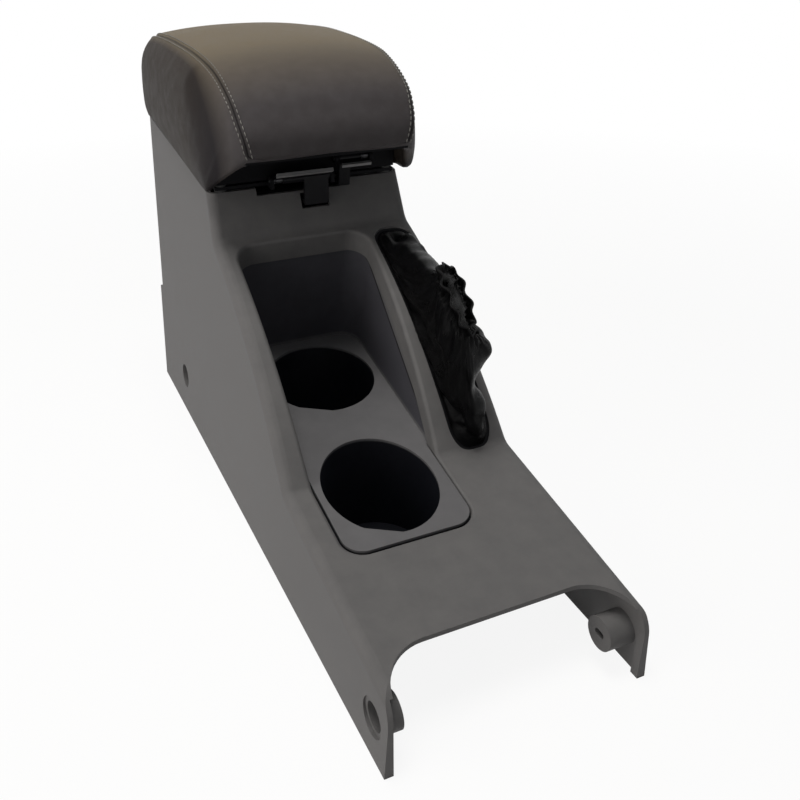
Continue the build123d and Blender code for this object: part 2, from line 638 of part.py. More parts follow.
def add_barrels(plate, middle_x, low, high):
    """Two hinge barrels on arms at the rear of a plate, bored for the pin."""
    for side in (-1, 1):
        x_low, x_high = side * middle_x - BARREL_WIDTH / 2, side * middle_x + BARREL_WIDTH / 2
        plate += barrel(BARREL_R, x_low, x_high)
        plate += block((x_low, x_high), (-BARREL_CLEAR * 1.5, 0), (low, high))
    return plate - barrel(PIN_R + RUNNING, -PIN_HALF - 1, PIN_HALF + 1)


# Latch lugs, levers, pins and springs

def lugs(spans, rise, root, root_low, root_high):
    """Two ears that carry a latch pin in front of a plate, in the lid view."""
    ears = []
    for low in spans:
        high = low + LUG_THICK
        foot = lid_polygon((root, root_low), (LATCH_REACH + LUG_R, root_low), (LATCH_REACH + LUG_R, root_high),
                           (root, root_high))
        neck = lid_polygon((LUG_FOOT, root_low), (LATCH_REACH + LUG_R, root_low), (LATCH_REACH + LUG_R, rise),
                           (LUG_FOOT, rise))
        ear = across(foot, low, high) + across(neck, low, high) + barrel(LUG_R, low, high, LATCH_REACH, rise)
        ears.append(ear)
    return ears


TRAY_LUGS = (TRAY_PADDLE[0] - LATCH_SIDE_GAP - LUG_THICK, TRAY_PADDLE[1] + LATCH_SIDE_GAP)
LID_LUGS = (LID_PADDLE[0] - LATCH_SIDE_GAP - LUG_THICK, LID_PADDLE[1] + LATCH_SIDE_GAP)


def latch_lever(paddle, rise, tip, hook, drop, hook_tip, stance):
    """A finger paddle and a hook on one hub, in the lid view."""
    hub_low, hub_high = paddle[0] + SPRING_ROOM, paddle[1]
    if hook[0] < hub_low:
        hub_low, hub_high = paddle[0], paddle[1] - SPRING_ROOM
    lever = barrel(LATCH_HUB_R, hub_low, hub_high, LATCH_REACH, rise)
    span = hypot(tip[0] - LATCH_REACH, tip[1] - rise)
    lean = degrees(atan2(tip[1] - rise, tip[0] - LATCH_REACH))
    blade = Pos(0, -LATCH_REACH, rise) * Rot(-lean, 0, 0)
    lever += blade * block(paddle, (-span, -PADDLE_CLEAR), (-PADDLE_THICK / 2, PADDLE_THICK / 2))
    lever += blade * block((hub_low, hub_high), (-PADDLE_CLEAR - 1, 0), (-PADDLE_THICK / 2, PADDLE_THICK / 2))
    front = LATCH_REACH + LATCH_HUB_R
    arm = lid_polygon((front - HOOK_THICK, rise), (front, rise), (front + stance, drop),
                      (front + stance - HOOK_THICK, drop))
    nose = lid_polygon((front + stance - 0.2, drop), (hook_tip, drop), (hook_tip, drop + HOOK_NOSE * 0.6),
                       (hook_tip + HOOK_NOSE, drop + HOOK_NOSE), (front + stance - 0.2, drop + HOOK_NOSE))
    lever += across(arm, *hook) + across(nose, *hook)
    return TO_LID * (lever - barrel(LATCH_PIN_R + RUNNING, paddle[0] - 1, paddle[1] + 1, LATCH_REACH, rise))


def latch_pin(spans, rise):
    """A latch's pivot pin, from the outer face of one lug to that of the other."""
    return TO_LID * barrel(LATCH_PIN_R, spans[0] - 0.4, spans[1] + LUG_THICK + 0.4, LATCH_REACH, rise)


def latch_spring(low, rise):
    """A small torsion spring on a latch pin, beside the hub."""
    pitch = (SPRING_ROOM - 1.6) / SPRING_TURNS
    coil = Helix(pitch, pitch * SPRING_TURNS, SPRING_COIL_R)
    wire = sweep(Plane(origin=coil @ 0, z_dir=coil % 0) * Circle(SPRING_WIRE_R), coil)
    return TO_LID * Pos(low + 0.6, -LATCH_REACH, rise) * Rot(0, 90, 0) * wire


# Upper tray

def make_upper_tray():
    """Shallow tray under the lid: a flat flange, a rounded bowl, hinge arms and the lower latch's lugs."""
    plate = block((-TRAY_HALF, TRAY_HALF), (-TRAY_FRONT, -BARREL_CLEAR), (TRAY_PLATE_LOW, TRAY_PLATE_HIGH))
    middle = -(BOWL_REAR + BOWL_FRONT) / 2
    bowl = Pos(0, middle) * RectangleRounded(2 * BOWL_HALF, BOWL_FRONT - BOWL_REAR, BOWL_CORNER_R)
    outer = upright(bowl, BOWL_LOW, TRAY_PLATE_HIGH)
    inner = upright(offset(bowl, -TRAY_WALL), BOWL_LOW + TRAY_WALL, TRAY_PLATE_HIGH + 1)
    outer = fillet(outer.faces().sort_by(Axis.Z)[0].edges(), BOWL_CORNER_R / 2)
    inner = fillet(inner.faces().sort_by(Axis.Z)[0].edges(), BOWL_CORNER_R / 2 - TRAY_WALL / 2)
    tray = add_barrels(plate, TRAY_BARREL_X, TRAY_PLATE_LOW, TRAY_PLATE_HIGH) + outer - inner
    for ear in lugs(TRAY_LUGS, TRAY_LATCH_RISE, TRAY_FRONT - LUG_R, TRAY_PLATE_LOW, TRAY_PLATE_HIGH):
        tray += ear
    tray -= barrel(LATCH_PIN_R, TRAY_LUGS[0] - 1, TRAY_LUGS[1] + LUG_THICK + 1, LATCH_REACH, TRAY_LATCH_RISE)
    for side in (-1, 1):
        tray -= Pos(side * BUFFER_X, -BUFFER_REACH, TRAY_PLATE_LOW) * Cylinder(BUFFER_STEM_R, 4 * TRAY_WALL)
    return TO_LID * tray


def make_tray_buffers():
    """Rubber buttons through the tray's front corners: they meet the box wall below and the lid above."""
    buttons = []
    for side in (-1, 1):
        low = Pos(0, 0, (BODY_TOP_RISE + TRAY_PLATE_LOW) / 2) * Cylinder(BUFFER_R, TRAY_PLATE_LOW - BODY_TOP_RISE)
        high = Pos(0, 0, (LID_LOW + TRAY_PLATE_HIGH) / 2) * Cylinder(BUFFER_R, LID_LOW - TRAY_PLATE_HIGH)
        stem = Pos(0, 0, (LID_LOW + BODY_TOP_RISE) / 2) * Cylinder(BUFFER_STEM_R, LID_LOW - BODY_TOP_RISE)
        buttons.append(TO_LID * Pos(side * BUFFER_X, -BUFFER_REACH, 0) * (low + high + stem))
    return Compound(children=buttons)


# Lid base, pad and their screws

def pad_screw_places():
    """Seats of the pad's screws on the lid base, in the lid view."""
    return [(side * PAD_SCREW_X, -reach) for side in (-1, 1) for reach in PAD_SCREW_REACH]


def pad_screw():
    """A countersunk screw, its flat head level with the origin and its shank towards +Z."""
    head = Pos(0, 0, SCREW_HEAD_HEIGHT / 2) * Cone(SCREW_HEAD_R, SCREW_R, SCREW_HEAD_HEIGHT)
    length = SCREW_HEAD_HEIGHT * 7
    return head + Pos(0, 0, length / 2) * Cylinder(SCREW_R, length) - (Box(3.6, 0.9, 1.6) + Box(0.9, 3.6, 1.6))


def make_lid_base():
    """Black plate under the pad, turned up in front and carried on under the pad's nose."""
    band = lid_polygon(
        (BARREL_CLEAR, LID_LOW), (LID_FRONT, LID_LOW), (LID_FRONT, LID_CEILING_REAR),
        (LID_NOSE, LID_CEILING_FRONT), (LID_NOSE, LID_CEILING_FRONT + LID_HIGH - LID_LOW),
        (LID_FRONT - LID_HIGH + LID_LOW, LID_CEILING_REAR + LID_HIGH - LID_LOW),
        (LID_FRONT - LID_HIGH + LID_LOW, LID_HIGH), (BARREL_CLEAR, LID_HIGH))
    plan = Polyline(
        (LID_HALF, 0), (LID_HALF, -LID_NOSE_TAPER), (LID_NOSE_HALF, -LID_NOSE), (-LID_NOSE_HALF, -LID_NOSE),
        (-LID_HALF, -LID_NOSE_TAPER), (-LID_HALF, 0), close=True)
    plate = across(band, -LID_HALF, LID_HALF) & upright(make_face(plan), LID_LOW, THROUGH)
    base = add_barrels(plate, LID_BARREL_X, LID_LOW, LID_HIGH)
    for low in LID_LUGS:
        ear = lid_polygon(
            (LID_FRONT - 1, LID_LATCH_RISE - LUG_R), (LATCH_REACH, LID_LATCH_RISE - LUG_R),
            (LATCH_REACH, LID_LATCH_RISE + LUG_R), (LID_FRONT - 1, LID_LATCH_RISE + LUG_R))
        base += across(ear, low, low + LUG_THICK)
        base += barrel(LUG_R, low, low + LUG_THICK, LATCH_REACH, LID_LATCH_RISE)
    base -= barrel(LATCH_PIN_R, LID_LUGS[0] - 1, LID_LUGS[1] + LUG_THICK + 1, LATCH_REACH, LID_LATCH_RISE)
    for x, along in pad_screw_places():
        base -= Pos(x, along, LID_LOW) * pad_screw_room()
    return TO_LID * base


def pad_screw_room():
    """The countersunk hole for a pad screw."""
    head = Pos(0, 0, SCREW_HEAD_HEIGHT / 2) * Cone(SCREW_HEAD_R, SCREW_R, SCREW_HEAD_HEIGHT)
    return head + Pos(0, 0, SCREW_HEAD_HEIGHT * 3.5) * Cylinder(SCREW_R, SCREW_HEAD_HEIGHT * 7)


def make_pad_screws():
    """Screws up through the lid base into the pad."""
    return Compound(children=[TO_LID * Pos(x, along, LID_LOW) * pad_screw() for x, along in pad_screw_places()])


PAD_REAR_LOW = (PAD_REAR_S - 8.5, lid_to_side(HINGE_S - PAD_REAR_S + 8.5, PAD_FLAP_RISE)[1])
PAD_LIP = (PAD_LIP_S, PAD_LIP_Z)
PAD_TIP = lid_to_side(PAD_FLAP_TIP, PAD_FLAP_RISE + 1.5)
PAD_CROWN = (
    PAD_REAR_LOW, (PAD_REAR_S - 4.9, HINGE_Z + 5), (PAD_REAR_S - 1.5, HINGE_Z + 13.5), (PAD_REAR_S, HINGE_Z + 25),
    (PAD_REAR_S - 6, PAD_TOP_Z - 20), (PAD_REAR_S - 24, PAD_TOP_Z - 5),
    (PAD_REAR_S - 70, PAD_TOP_Z - 0.8), (PAD_NOSE_S + 110, PAD_TOP_Z), (PAD_NOSE_S + 62, PAD_TOP_Z - 2.5),
    (PAD_NOSE_S + 28, PAD_TOP_Z - 11), (PAD_NOSE_S + 8, PAD_TOP_Z - 25), (PAD_NOSE_S, PAD_NOSE_Z), PAD_LIP)


def slide(start, end, distance):
    """A point some way along the line from start to end."""
    share = distance / hypot(end[0] - start[0], end[1] - start[1])
    return (start[0] + share * (end[0] - start[0]), start[1] + share * (end[1] - start[1]))


def pad_outline(inset):
    """Side outline of the pad, its rear, top and nose drawn in by inset and its lower edges kept."""
    crown = Spline(*PAD_CROWN)
    points = []
    for step in range(1, PAD_STEPS):
        point, heading = crown @ (step / PAD_STEPS), crown % (step / PAD_STEPS)
        points.append((point.X - heading.Y * inset, point.Y + heading.X * inset))
    rear, lip = slide(PAD_REAR_LOW, PAD_TIP, inset), slide(PAD_LIP, PAD_TIP, inset)
    edge = Spline(rear, *points, lip)
    return make_face(edge.edges() + Polyline(lip, PAD_TIP, rear).edges())


def make_armrest_pad():
    """Foam pad under its sewn cover: crowned top, rounded nose that overhangs the box, side flaps."""
    flat = PAD_HALF - PAD_EDGE_R
    turns = [radians(90 * step / PAD_EDGE_STEPS) for step in range(PAD_EDGE_STEPS + 1)]
    places = [(flat + PAD_EDGE_R * sin(turn), PAD_EDGE_R * (1 - cos(turn))) for turn in turns]
    stations = [(-x, inset) for x, inset in reversed(places)] + places
    pad = loft([Plane.YZ.offset(x) * pad_outline(inset) for x, inset in stations], ruled=True)
    room = lid_polygon(
        (-BEYOND, -BEYOND), (-BEYOND, PAD_HINGE_ROOM), (BARREL_CLEAR + 2, PAD_HINGE_ROOM),
        (BARREL_CLEAR + 2, LID_HIGH), (LID_FRONT - LID_HIGH + LID_LOW, LID_HIGH),
        (LID_FRONT - LID_HIGH + LID_LOW, LID_CEILING_REAR + LID_HIGH - LID_LOW),
        (LID_NOSE, LID_CEILING_FRONT + LID_HIGH - LID_LOW), (LID_NOSE, -BEYOND))
    half = LID_HALF + PAD_FLAP_GAP
    pad -= TO_LID * across(room, -half, half)
    for x, along in pad_screw_places():
        pad -= TO_LID * Pos(x, along, LID_LOW) * pad_screw_room()
    return pad


# Storage bin

def make_storage_bin():
    """Deep black tub whose flange lies on the box's ledge."""
    high = LEDGE_RISE + BIN_FLANGE_THICK
    tub = bin_frame(BIN_FLANGE_WIDTH, LEDGE_RISE, high) + bin_frame(0, BIN_LOW, high)
    tub -= bin_frame(-BIN_WALL, BIN_LOW + BIN_WALL, high + 1)
    for x, along in bin_screw_places():
        tub -= Pos(x, along, LEDGE_RISE) * Cylinder(SCREW_R + RUNNING, 4 * BIN_FLANGE_THICK)
    return TO_LID * tub


def make_bin_screws():
    """Screws down through the bin's flange into the ledge."""
    turned = Rot(180, 0, 0) * screw(BIN_FLANGE_THICK + LEDGE_THICK * 0.9)
    high = LEDGE_RISE + BIN_FLANGE_THICK
    return Compound(children=[TO_LID * Pos(x, along, high) * turned for x, along in bin_screw_places()])


pieces = {
    "console_body": make_console_body(),
    "cup_holder_insert": make_cup_holder_insert(),
    "insert_screws": make_insert_screws(),
    "boot_frame": make_boot_frame(),
    "brake_boot": make_brake_boot(),
    "storage_bin": make_storage_bin(),
    "bin_screws": make_bin_screws(),
    "hinge_bracket": make_hinge_bracket(),
    "hinge_pin": make_hinge_pin(),
    "hinge_screws": make_hinge_screws(),
    "upper_tray": make_upper_tray(),
    "tray_buffers": make_tray_buffers(),
    "tray_lever": latch_lever(TRAY_PADDLE, TRAY_LATCH_RISE, TRAY_PADDLE_TIP, TRAY_HOOK, TRAY_HOOK_DROP,
                              TRAY_HOOK_TIP, TRAY_HOOK_STANCE),
    "tray_lever_pin": latch_pin(TRAY_LUGS, TRAY_LATCH_RISE),
    "tray_lever_spring": latch_spring(TRAY_PADDLE[0], TRAY_LATCH_RISE),
    "lid_base": make_lid_base(),
    "armrest_pad": make_armrest_pad(),
    "pad_screws": make_pad_screws(),
    "lid_lever": latch_lever(LID_PADDLE, LID_LATCH_RISE, LID_PADDLE_TIP, LID_HOOK, LID_HOOK_DROP,
                             LID_HOOK_TIP, LID_HOOK_STANCE),
    "lid_lever_pin": latch_pin(LID_LUGS, LID_LATCH_RISE),
    "lid_lever_spring": latch_spring(LID_PADDLE[1] - SPRING_ROOM, LID_LATCH_RISE),
}

# The origin lies on the floor under the middle of the whole length.
spans = [shape.bounding_box() for shape in pieces.values()]
middle = (min(span.min.Y for span in spans) + max(span.max.Y for span in spans)) / 2
os.makedirs("parts", exist_ok=True)
for node, shape in pieces.items():
    export_step(Pos(0, -middle, 0) * shape, f"parts/{node}.step")
print("middle station", round(middle, 3))
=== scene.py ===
# %% [markdown]
# # A car's centre console with a padded armrest
# The rigid pieces come ready from the CAD frame: the grey shell, the cup holder insert, the latches and
# the hinge. This script gives each of them its finish and makes the two soft pieces anew: the sewn
# armrest pad and the crumpled hand-brake boot. All places are in metres in the frame's own axes: +X
# right, +Y to the rear, +Z up.

# %% Load the frame
import json
import math

import bpy
import numpy as np
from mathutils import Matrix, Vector


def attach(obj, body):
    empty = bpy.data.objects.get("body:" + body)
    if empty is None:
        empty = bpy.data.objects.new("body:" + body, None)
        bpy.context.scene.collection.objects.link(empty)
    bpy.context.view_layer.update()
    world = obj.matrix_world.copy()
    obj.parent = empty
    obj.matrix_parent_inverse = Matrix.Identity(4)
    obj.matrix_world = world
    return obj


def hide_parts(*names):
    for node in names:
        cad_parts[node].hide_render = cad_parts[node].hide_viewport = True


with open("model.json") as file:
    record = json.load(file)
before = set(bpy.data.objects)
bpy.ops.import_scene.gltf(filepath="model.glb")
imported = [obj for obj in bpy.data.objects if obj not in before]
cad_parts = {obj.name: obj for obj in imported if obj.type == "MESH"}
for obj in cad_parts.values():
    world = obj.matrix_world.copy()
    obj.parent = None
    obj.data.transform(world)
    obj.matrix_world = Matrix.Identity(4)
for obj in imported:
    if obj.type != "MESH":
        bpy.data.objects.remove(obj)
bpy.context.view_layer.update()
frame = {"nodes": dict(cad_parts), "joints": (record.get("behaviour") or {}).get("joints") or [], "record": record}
nodes = frame["nodes"]

# %% [markdown]
# A maker would measure a console from the tips of its legs, so places are written as stations in
# millimetres: how far behind the leg tips, and how high above the floor. The hinge pin is the one point
# known in both systems. The lid and all that it carries slope gently with the box's top, so they have a
# view of their own: how far in front of the hinge pin, and how far above it, square to the slope.

# %% Places on the console
MM = 0.001
HINGE_STATION, HINGE_HEIGHT = 490.0, 238.0
LID_TILT = math.radians(5.5)
hinge = Vector(next(joint["pos_m"] for joint in frame["joints"] if joint["name"] == "lid_hinge"))


def place(points):
    """Frame coordinates, in metres, of rows of (millimetres right, station, height)."""
    points = np.asarray(points, float)
    return points * MM + np.array([0.0, hinge.y - HINGE_STATION * MM, hinge.z - HINGE_HEIGHT * MM])


def lid_height(station, rise):
    """Height at a station of what lies some rise above the hinge pin, square to the lid."""
    behind = np.asarray(station) - HINGE_STATION
    return HINGE_HEIGHT + rise / math.cos(LID_TILT) + behind * math.tan(LID_TILT)


print("hinge pin at", [round(v, 4) for v in hinge])

# %% [markdown]
# The camera stands to the front left and looks down at the console. Its place and lens were worked out
# from the straight edges in the picture, so the same perspective comes back in the render. The lens is
# known in pixels, and Blender wants millimetres on a sensor, so it is scaled by the sensor's width.

# %% Camera
CAMERA_PLACE = (-195.7, -265.3, 381.7)
CAMERA_AZIMUTH, CAMERA_ELEVATION = math.radians(-24.9), math.radians(29.36)
IMAGE_PX, FOCAL_PX = 800, 872.6
SENSOR_WIDTH = 36.0
CLIP_NEAR, CLIP_FAR = 0.02, 50.0

camera = bpy.data.objects.new("camera", bpy.data.cameras.new("camera"))
bpy.context.scene.collection.objects.link(camera)
bpy.context.scene.camera = camera
camera.data.sensor_width = SENSOR_WIDTH
camera.data.lens = SENSOR_WIDTH * FOCAL_PX / IMAGE_PX
camera.data.clip_start, camera.data.clip_end = CLIP_NEAR, CLIP_FAR
towards_camera = Vector((
    math.sin(CAMERA_AZIMUTH) * math.cos(CAMERA_ELEVATION),
    -math.cos(CAMERA_AZIMUTH) * math.cos(CAMERA_ELEVATION),
    math.sin(CAMERA_ELEVATION),
))
camera.location = place([CAMERA_PLACE])[0]
camera.rotation_mode = "QUATERNION"
camera.rotation_quaternion = (-towards_camera).to_track_quat("-Z", "Y")
bpy.context.scene.view_settings.view_transform = "Standard"
print("lens", round(camera.data.lens, 1), "mm")

# %% [markdown]
# Node trees are long to write by hand, so a few helpers come first: one adds a node with its values set
# by name, and the others place the nodes that this script needs again and again, already linked.

# %% Helpers for node trees
def new_tree(owner):
    """The empty node tree of a material or world."""
    owner.use_nodes = True
    owner.node_tree.nodes.clear()
    return owner.node_tree


def add(tree, kind, **values):
    """A node of that kind with its input sockets or properties set by name."""
    node = tree.nodes.new(kind)
    for name, value in values.items():
        if name in node.inputs:
            node.inputs[name].default_value = value
        else:
            setattr(node, name, value)
    return node


def combined(tree, operation, first, second):
    """What a maths node makes of two sockets."""
    node = add(tree, "ShaderNodeMath", operation=operation)
    tree.links.new(first, node.inputs[0])
    tree.links.new(second, node.inputs[1])
    return node.outputs[0]


def carried(tree, value, start, end):
    """A socket's value carried from one span of numbers to another, and kept inside it."""
    node = add(tree, "ShaderNodeMapRange", clamp=True)
    for label, limit in zip(("From Min", "From Max", "To Min", "To Max"), (*start, *end)):
        node.inputs[label].default_value = limit
    tree.links.new(value, node.inputs["Value"])
    return node.outputs["Result"]


def mixed_shaders(tree, share, first, second):
    """The first shader where the share is nought, the second where it is one."""
    node = add(tree, "ShaderNodeMixShader")
    for source, socket in zip((share, first.outputs[0], second.outputs[0]), node.inputs):
        tree.links.new(source, socket)
    return node.outputs[0]


print("helpers ready")

# %% [markdown]
# The picture has a plain white ground. To get it without flooding the console with light, the world
# answers camera rays with white, and rays through gloss or glass as well, because those show the
# background too. All other rays see only a faint sky.

# %% White world
SKY_COLOUR, SKY_STRENGTH = (0.95, 0.97, 1.0, 1), 0.12
WHITE, WHITE_STRENGTH = (1, 1, 1, 1), 1.0


def background_rays(tree):
    """One where a ray comes from the camera or through gloss or glass, which is what shows the background."""
    rays = add(tree, "ShaderNodeLightPath").outputs
    seen = combined(tree, "MAXIMUM", rays["Is Camera Ray"], rays["Is Glossy Ray"])
    return combined(tree, "MAXIMUM", seen, rays["Is Transmission Ray"])


world = bpy.data.worlds.new("studio")
bpy.context.scene.world = world
tree = new_tree(world)
sky = add(tree, "ShaderNodeBackground", Color=SKY_COLOUR, Strength=SKY_STRENGTH)
ground = add(tree, "ShaderNodeBackground", Color=WHITE, Strength=WHITE_STRENGTH)
surround = mixed_shaders(tree, background_rays(tree), sky, ground)
tree.links.new(surround, add(tree, "ShaderNodeOutputWorld").inputs["Surface"])
print("world:", world.name)

# %% [markdown]
# The floor catches the console's soft shadow. It answers the same rays with white, but near the console a
# tenth of its own matte shading shows through. Further out that fades to pure white, so the floor has no
# edge in the picture. It only sets the stage.

# %% Floor
FLOOR_SIZE = 8.0
FLOOR_PAINT = (0.85, 0.85, 0.85, 1)
# How white it is near the console, and the distances between which it turns to pure white
FLOOR_WHITENESS, FLOOR_FADE = 0.9, (0.45, 1.3)

half = FLOOR_SIZE / 2
floor_mesh = bpy.data.meshes.new("floor")
corners = [(-half, -half, 0), (half, -half, 0), (half, half, 0), (-half, half, 0)]
floor_mesh.from_pydata(corners, [], [(0, 1, 2, 3)])
floor = bpy.data.objects.new("floor", floor_mesh)
bpy.context.scene.collection.objects.link(floor)
floor_white = bpy.data.materials.new("floor_white")
tree = new_tree(floor_white)
matte = add(tree, "ShaderNodeBsdfDiffuse", Color=FLOOR_PAINT)
glow = add(tree, "ShaderNodeEmission", Color=WHITE, Strength=WHITE_STRENGTH)
distance = add(tree, "ShaderNodeVectorMath", operation="LENGTH")
tree.links.new(add(tree, "ShaderNodeTexCoord").outputs["Object"], distance.inputs[0])
whiteness = carried(tree, distance.outputs["Value"], FLOOR_FADE, (FLOOR_WHITENESS, 1.0))
share = combined(tree, "MULTIPLY", background_rays(tree), whiteness)
painted = mixed_shaders(tree, share, matte, glow)
tree.links.new(painted, add(tree, "ShaderNodeOutputMaterial").inputs["Surface"])
floor_mesh.materials.append(floor_white)
print("floor:", FLOOR_SIZE, "m wide")

# %% [markdown]
# The light in the picture is soft and comes from the left and from straight overhead: the left wall is
# paler than the deck, and whatever lies under the pad's nose is dark. Two large area lamps give that, and
# a faint third one in front opens the shadows a little.

# %% Lamps
LAMP_AIM = (0, 0.05, 0.15)
# Each lamp: name, place and size in metres, power in watts, colour
LAMPS = (
    ("lamp_left", (-1.5, -0.2, 0.75), 1.1, 14, (1.0, 0.965, 0.92)),
    ("lamp_above", (-0.15, -0.02, 1.7), 0.7, 18, (1.0, 0.98, 0.94)),
    ("lamp_front", (0.05, -0.7, 1.5), 0.9, 0.7, (0.95, 0.975, 1.0)),
)

for name, location, size, power, colour in LAMPS:
    lamp = bpy.data.objects.new(name, bpy.data.lights.new(name, "AREA"))
    lamp.data.size, lamp.data.energy, lamp.data.color = size, power, colour
    lamp.location = location
    lamp.rotation_mode = "QUATERNION"
    lamp.rotation_quaternion = (Vector(LAMP_AIM) - lamp.location).to_track_quat("-Z", "Y")
    bpy.context.scene.collection.objects.link(lamp)
print("lamps:", len(LAMPS))

# %% [markdown]
# ## Finishes
# Moulded plastic is never quite smooth: the tool is etched, so the surface has a fine pebble grain, and
# handling leaves faint cloudy marks. Both are wanted on several plastics at different strengths, so they
# are one shader node group with named inputs. The grain is a Voronoi pattern well under a millimetre
# wide, and the cloud is a slow noise.

# %% Grain of moulded plastic
def new_group(name, inputs, outputs):
    """An empty shader node group; an input is a vector where its default has three values."""
    group = bpy.data.node_groups.new(name, "ShaderNodeTree")
    for label, default in inputs.items():
        kind = "NodeSocketVector" if isinstance(default, tuple) else "NodeSocketFloat"
        group.interface.new_socket(label, in_out="INPUT", socket_type=kind).default_value = default
    for label in outputs:
        group.interface.new_socket(label, in_out="OUTPUT", socket_type="NodeSocketFloat")
    return group, group.nodes.new("NodeGroupInput"), group.nodes.new("NodeGroupOutput")


def scaled_coordinates(tree, scale):
    """Object coordinates times the value of a socket."""
    scaled = add(tree, "ShaderNodeVectorMath", operation="SCALE")
    tree.links.new(add(tree, "ShaderNodeTexCoord").outputs["Object"], scaled.inputs[0])
    tree.links.new(scale, scaled.inputs["Scale"])
    return scaled.outputs[0]


grain_group, given, out = new_group(
    "moulded_grain", {"Cells per metre": 1300.0, "Cloud per metre": 14.0}, ["Height", "Cloud"])
link = grain_group.links.new
cells = add(grain_group, "ShaderNodeTexVoronoi", feature="SMOOTH_F1", Smoothness=0.6, Randomness=0.9)
link(scaled_coordinates(grain_group, given.outputs["Cells per metre"]), cells.inputs["Vector"])
cloud = add(grain_group, "ShaderNodeTexNoise", Detail=5.0, Roughness=0.62)
link(scaled_coordinates(grain_group, given.outputs["Cloud per metre"]), cloud.inputs["Vector"])
link(cells.outputs["Distance"], out.inputs["Height"])
link(cloud.outputs["Fac"], out.inputs["Cloud"])
print("node group:", grain_group.name)

# %% [markdown]
# Leather is a net of fine creases round small flat lenses. The distance to the edges of a Voronoi pattern
# draws such a net, and bending its coordinates with noise first takes the straight lines out of it. The
# pad and the boot share the group, each with its own crease size.

# %% Grain of leather
CREASE_BEND = (0.7, 0.7, 0.7)
CREASE_WIDTH = 0.28

leather_group, given, out = new_group(
    "leather_grain", {"Creases per metre": 620.0, "Cloud per metre": 22.0}, ["Height", "Cloud"])
link = leather_group.links.new
base = scaled_coordinates(leather_group, given.outputs["Creases per metre"])
warp = add(leather_group, "ShaderNodeTexNoise", Detail=2.0)
link(base, warp.inputs["Vector"])
bent = add(leather_group, "ShaderNodeVectorMath", operation="MULTIPLY_ADD")
bent.inputs[1].default_value = CREASE_BEND
link(warp.outputs["Color"], bent.inputs[0])
link(base, bent.inputs[2])
creases = add(leather_group, "ShaderNodeTexVoronoi", feature="DISTANCE_TO_EDGE")
link(bent.outputs[0], creases.inputs["Vector"])
cloud = add(leather_group, "ShaderNodeTexNoise", Detail=4.0)
link(scaled_coordinates(leather_group, given.outputs["Cloud per metre"]), cloud.inputs["Vector"])
lenses = carried(leather_group, creases.outputs["Distance"], (0.0, CREASE_WIDTH), (0.0, 1.0))
link(lenses, out.inputs["Height"])
link(cloud.outputs["Fac"], out.inputs["Cloud"])
print("node group:", leather_group.name)

# %% [markdown]
# Some pieces get painted shade from place to place: the insert's cups are painted darker than its plate,
# and the pad's flanks darker than its top. The last group is a mask for that. It is one beyond a plane,
# given by a point and a direction, and it comes in softly between two distances. Several masks multiplied
# bound a zone.

# %% Mask for a zone
zone_group, given, out = new_group(
    "beyond_plane",
    {"Origin": (0.0, 0.0, 0.0), "Direction": (0.0, 0.0, 1.0), "Begins": 0.0, "Ends": 1.0}, ["Mask"])
link = zone_group.links.new
offset = add(zone_group, "ShaderNodeVectorMath", operation="SUBTRACT")
link(add(zone_group, "ShaderNodeTexCoord").outputs["Object"], offset.inputs[0])
link(given.outputs["Origin"], offset.inputs[1])
depth = add(zone_group, "ShaderNodeVectorMath", operation="DOT_PRODUCT")
link(offset.outputs[0], depth.inputs[0])
link(given.outputs["Direction"], depth.inputs[1])
fade = add(zone_group, "ShaderNodeMapRange", clamp=True)
link(depth.outputs["Value"], fade.inputs["Value"])
link(given.outputs["Begins"], fade.inputs["From Min"])
link(given.outputs["Ends"], fade.inputs["From Max"])
link(fade.outputs["Result"], out.inputs["Mask"])


def zone_mask(tree, planes):
    """One beyond every plane: its origin, its direction and the two distances it comes in between, in mm."""
    mask = None
    for origin, direction, (begins, ends) in planes:
        zone = add(tree, "ShaderNodeGroup", node_tree=zone_group)
        zone.inputs["Origin"].default_value = place([origin])[0]
        zone.inputs["Direction"].default_value = Vector(direction).normalized()
        zone.inputs["Begins"].default_value = begins * MM
        zone.inputs["Ends"].default_value = ends * MM
        beyond = zone.outputs["Mask"]
        mask = combined(tree, "MULTIPLY", mask, beyond) if mask else beyond
    return mask


print("node group:", zone_group.name)

# %% [markdown]
# Every finish then follows one recipe. A group gives a height for the bump and a slow cloud, and the
# cloud shifts the colour and the gloss a little. Zones, or an attribute painted on the mesh, multiply the
# colour by a tone. Only the values differ from finish to finish, so one function makes them all.

# %% Recipe for a finish
# The part of the cloud that the colour runs over, and the part that the gloss runs over
CLOUD_FOR_COLOUR, CLOUD_FOR_GLOSS = (0.3, 0.72), (0.3, 0.7)


def times_tone(tree, colour, mask, tone):
    """A colour socket multiplied by a tone where the mask is one."""
    mixed = add(tree, "ShaderNodeMix", data_type="RGBA", blend_type="MULTIPLY")
    sockets = {socket.identifier: socket for socket in mixed.inputs}
    sockets["B_Color"].default_value = (*tone, 1)
    tree.links.new(mask, sockets["Factor_Float"])
    tree.links.new(colour, sockets["A_Color"])
    return next(socket for socket in mixed.outputs if socket.identifier == "Result_Color")


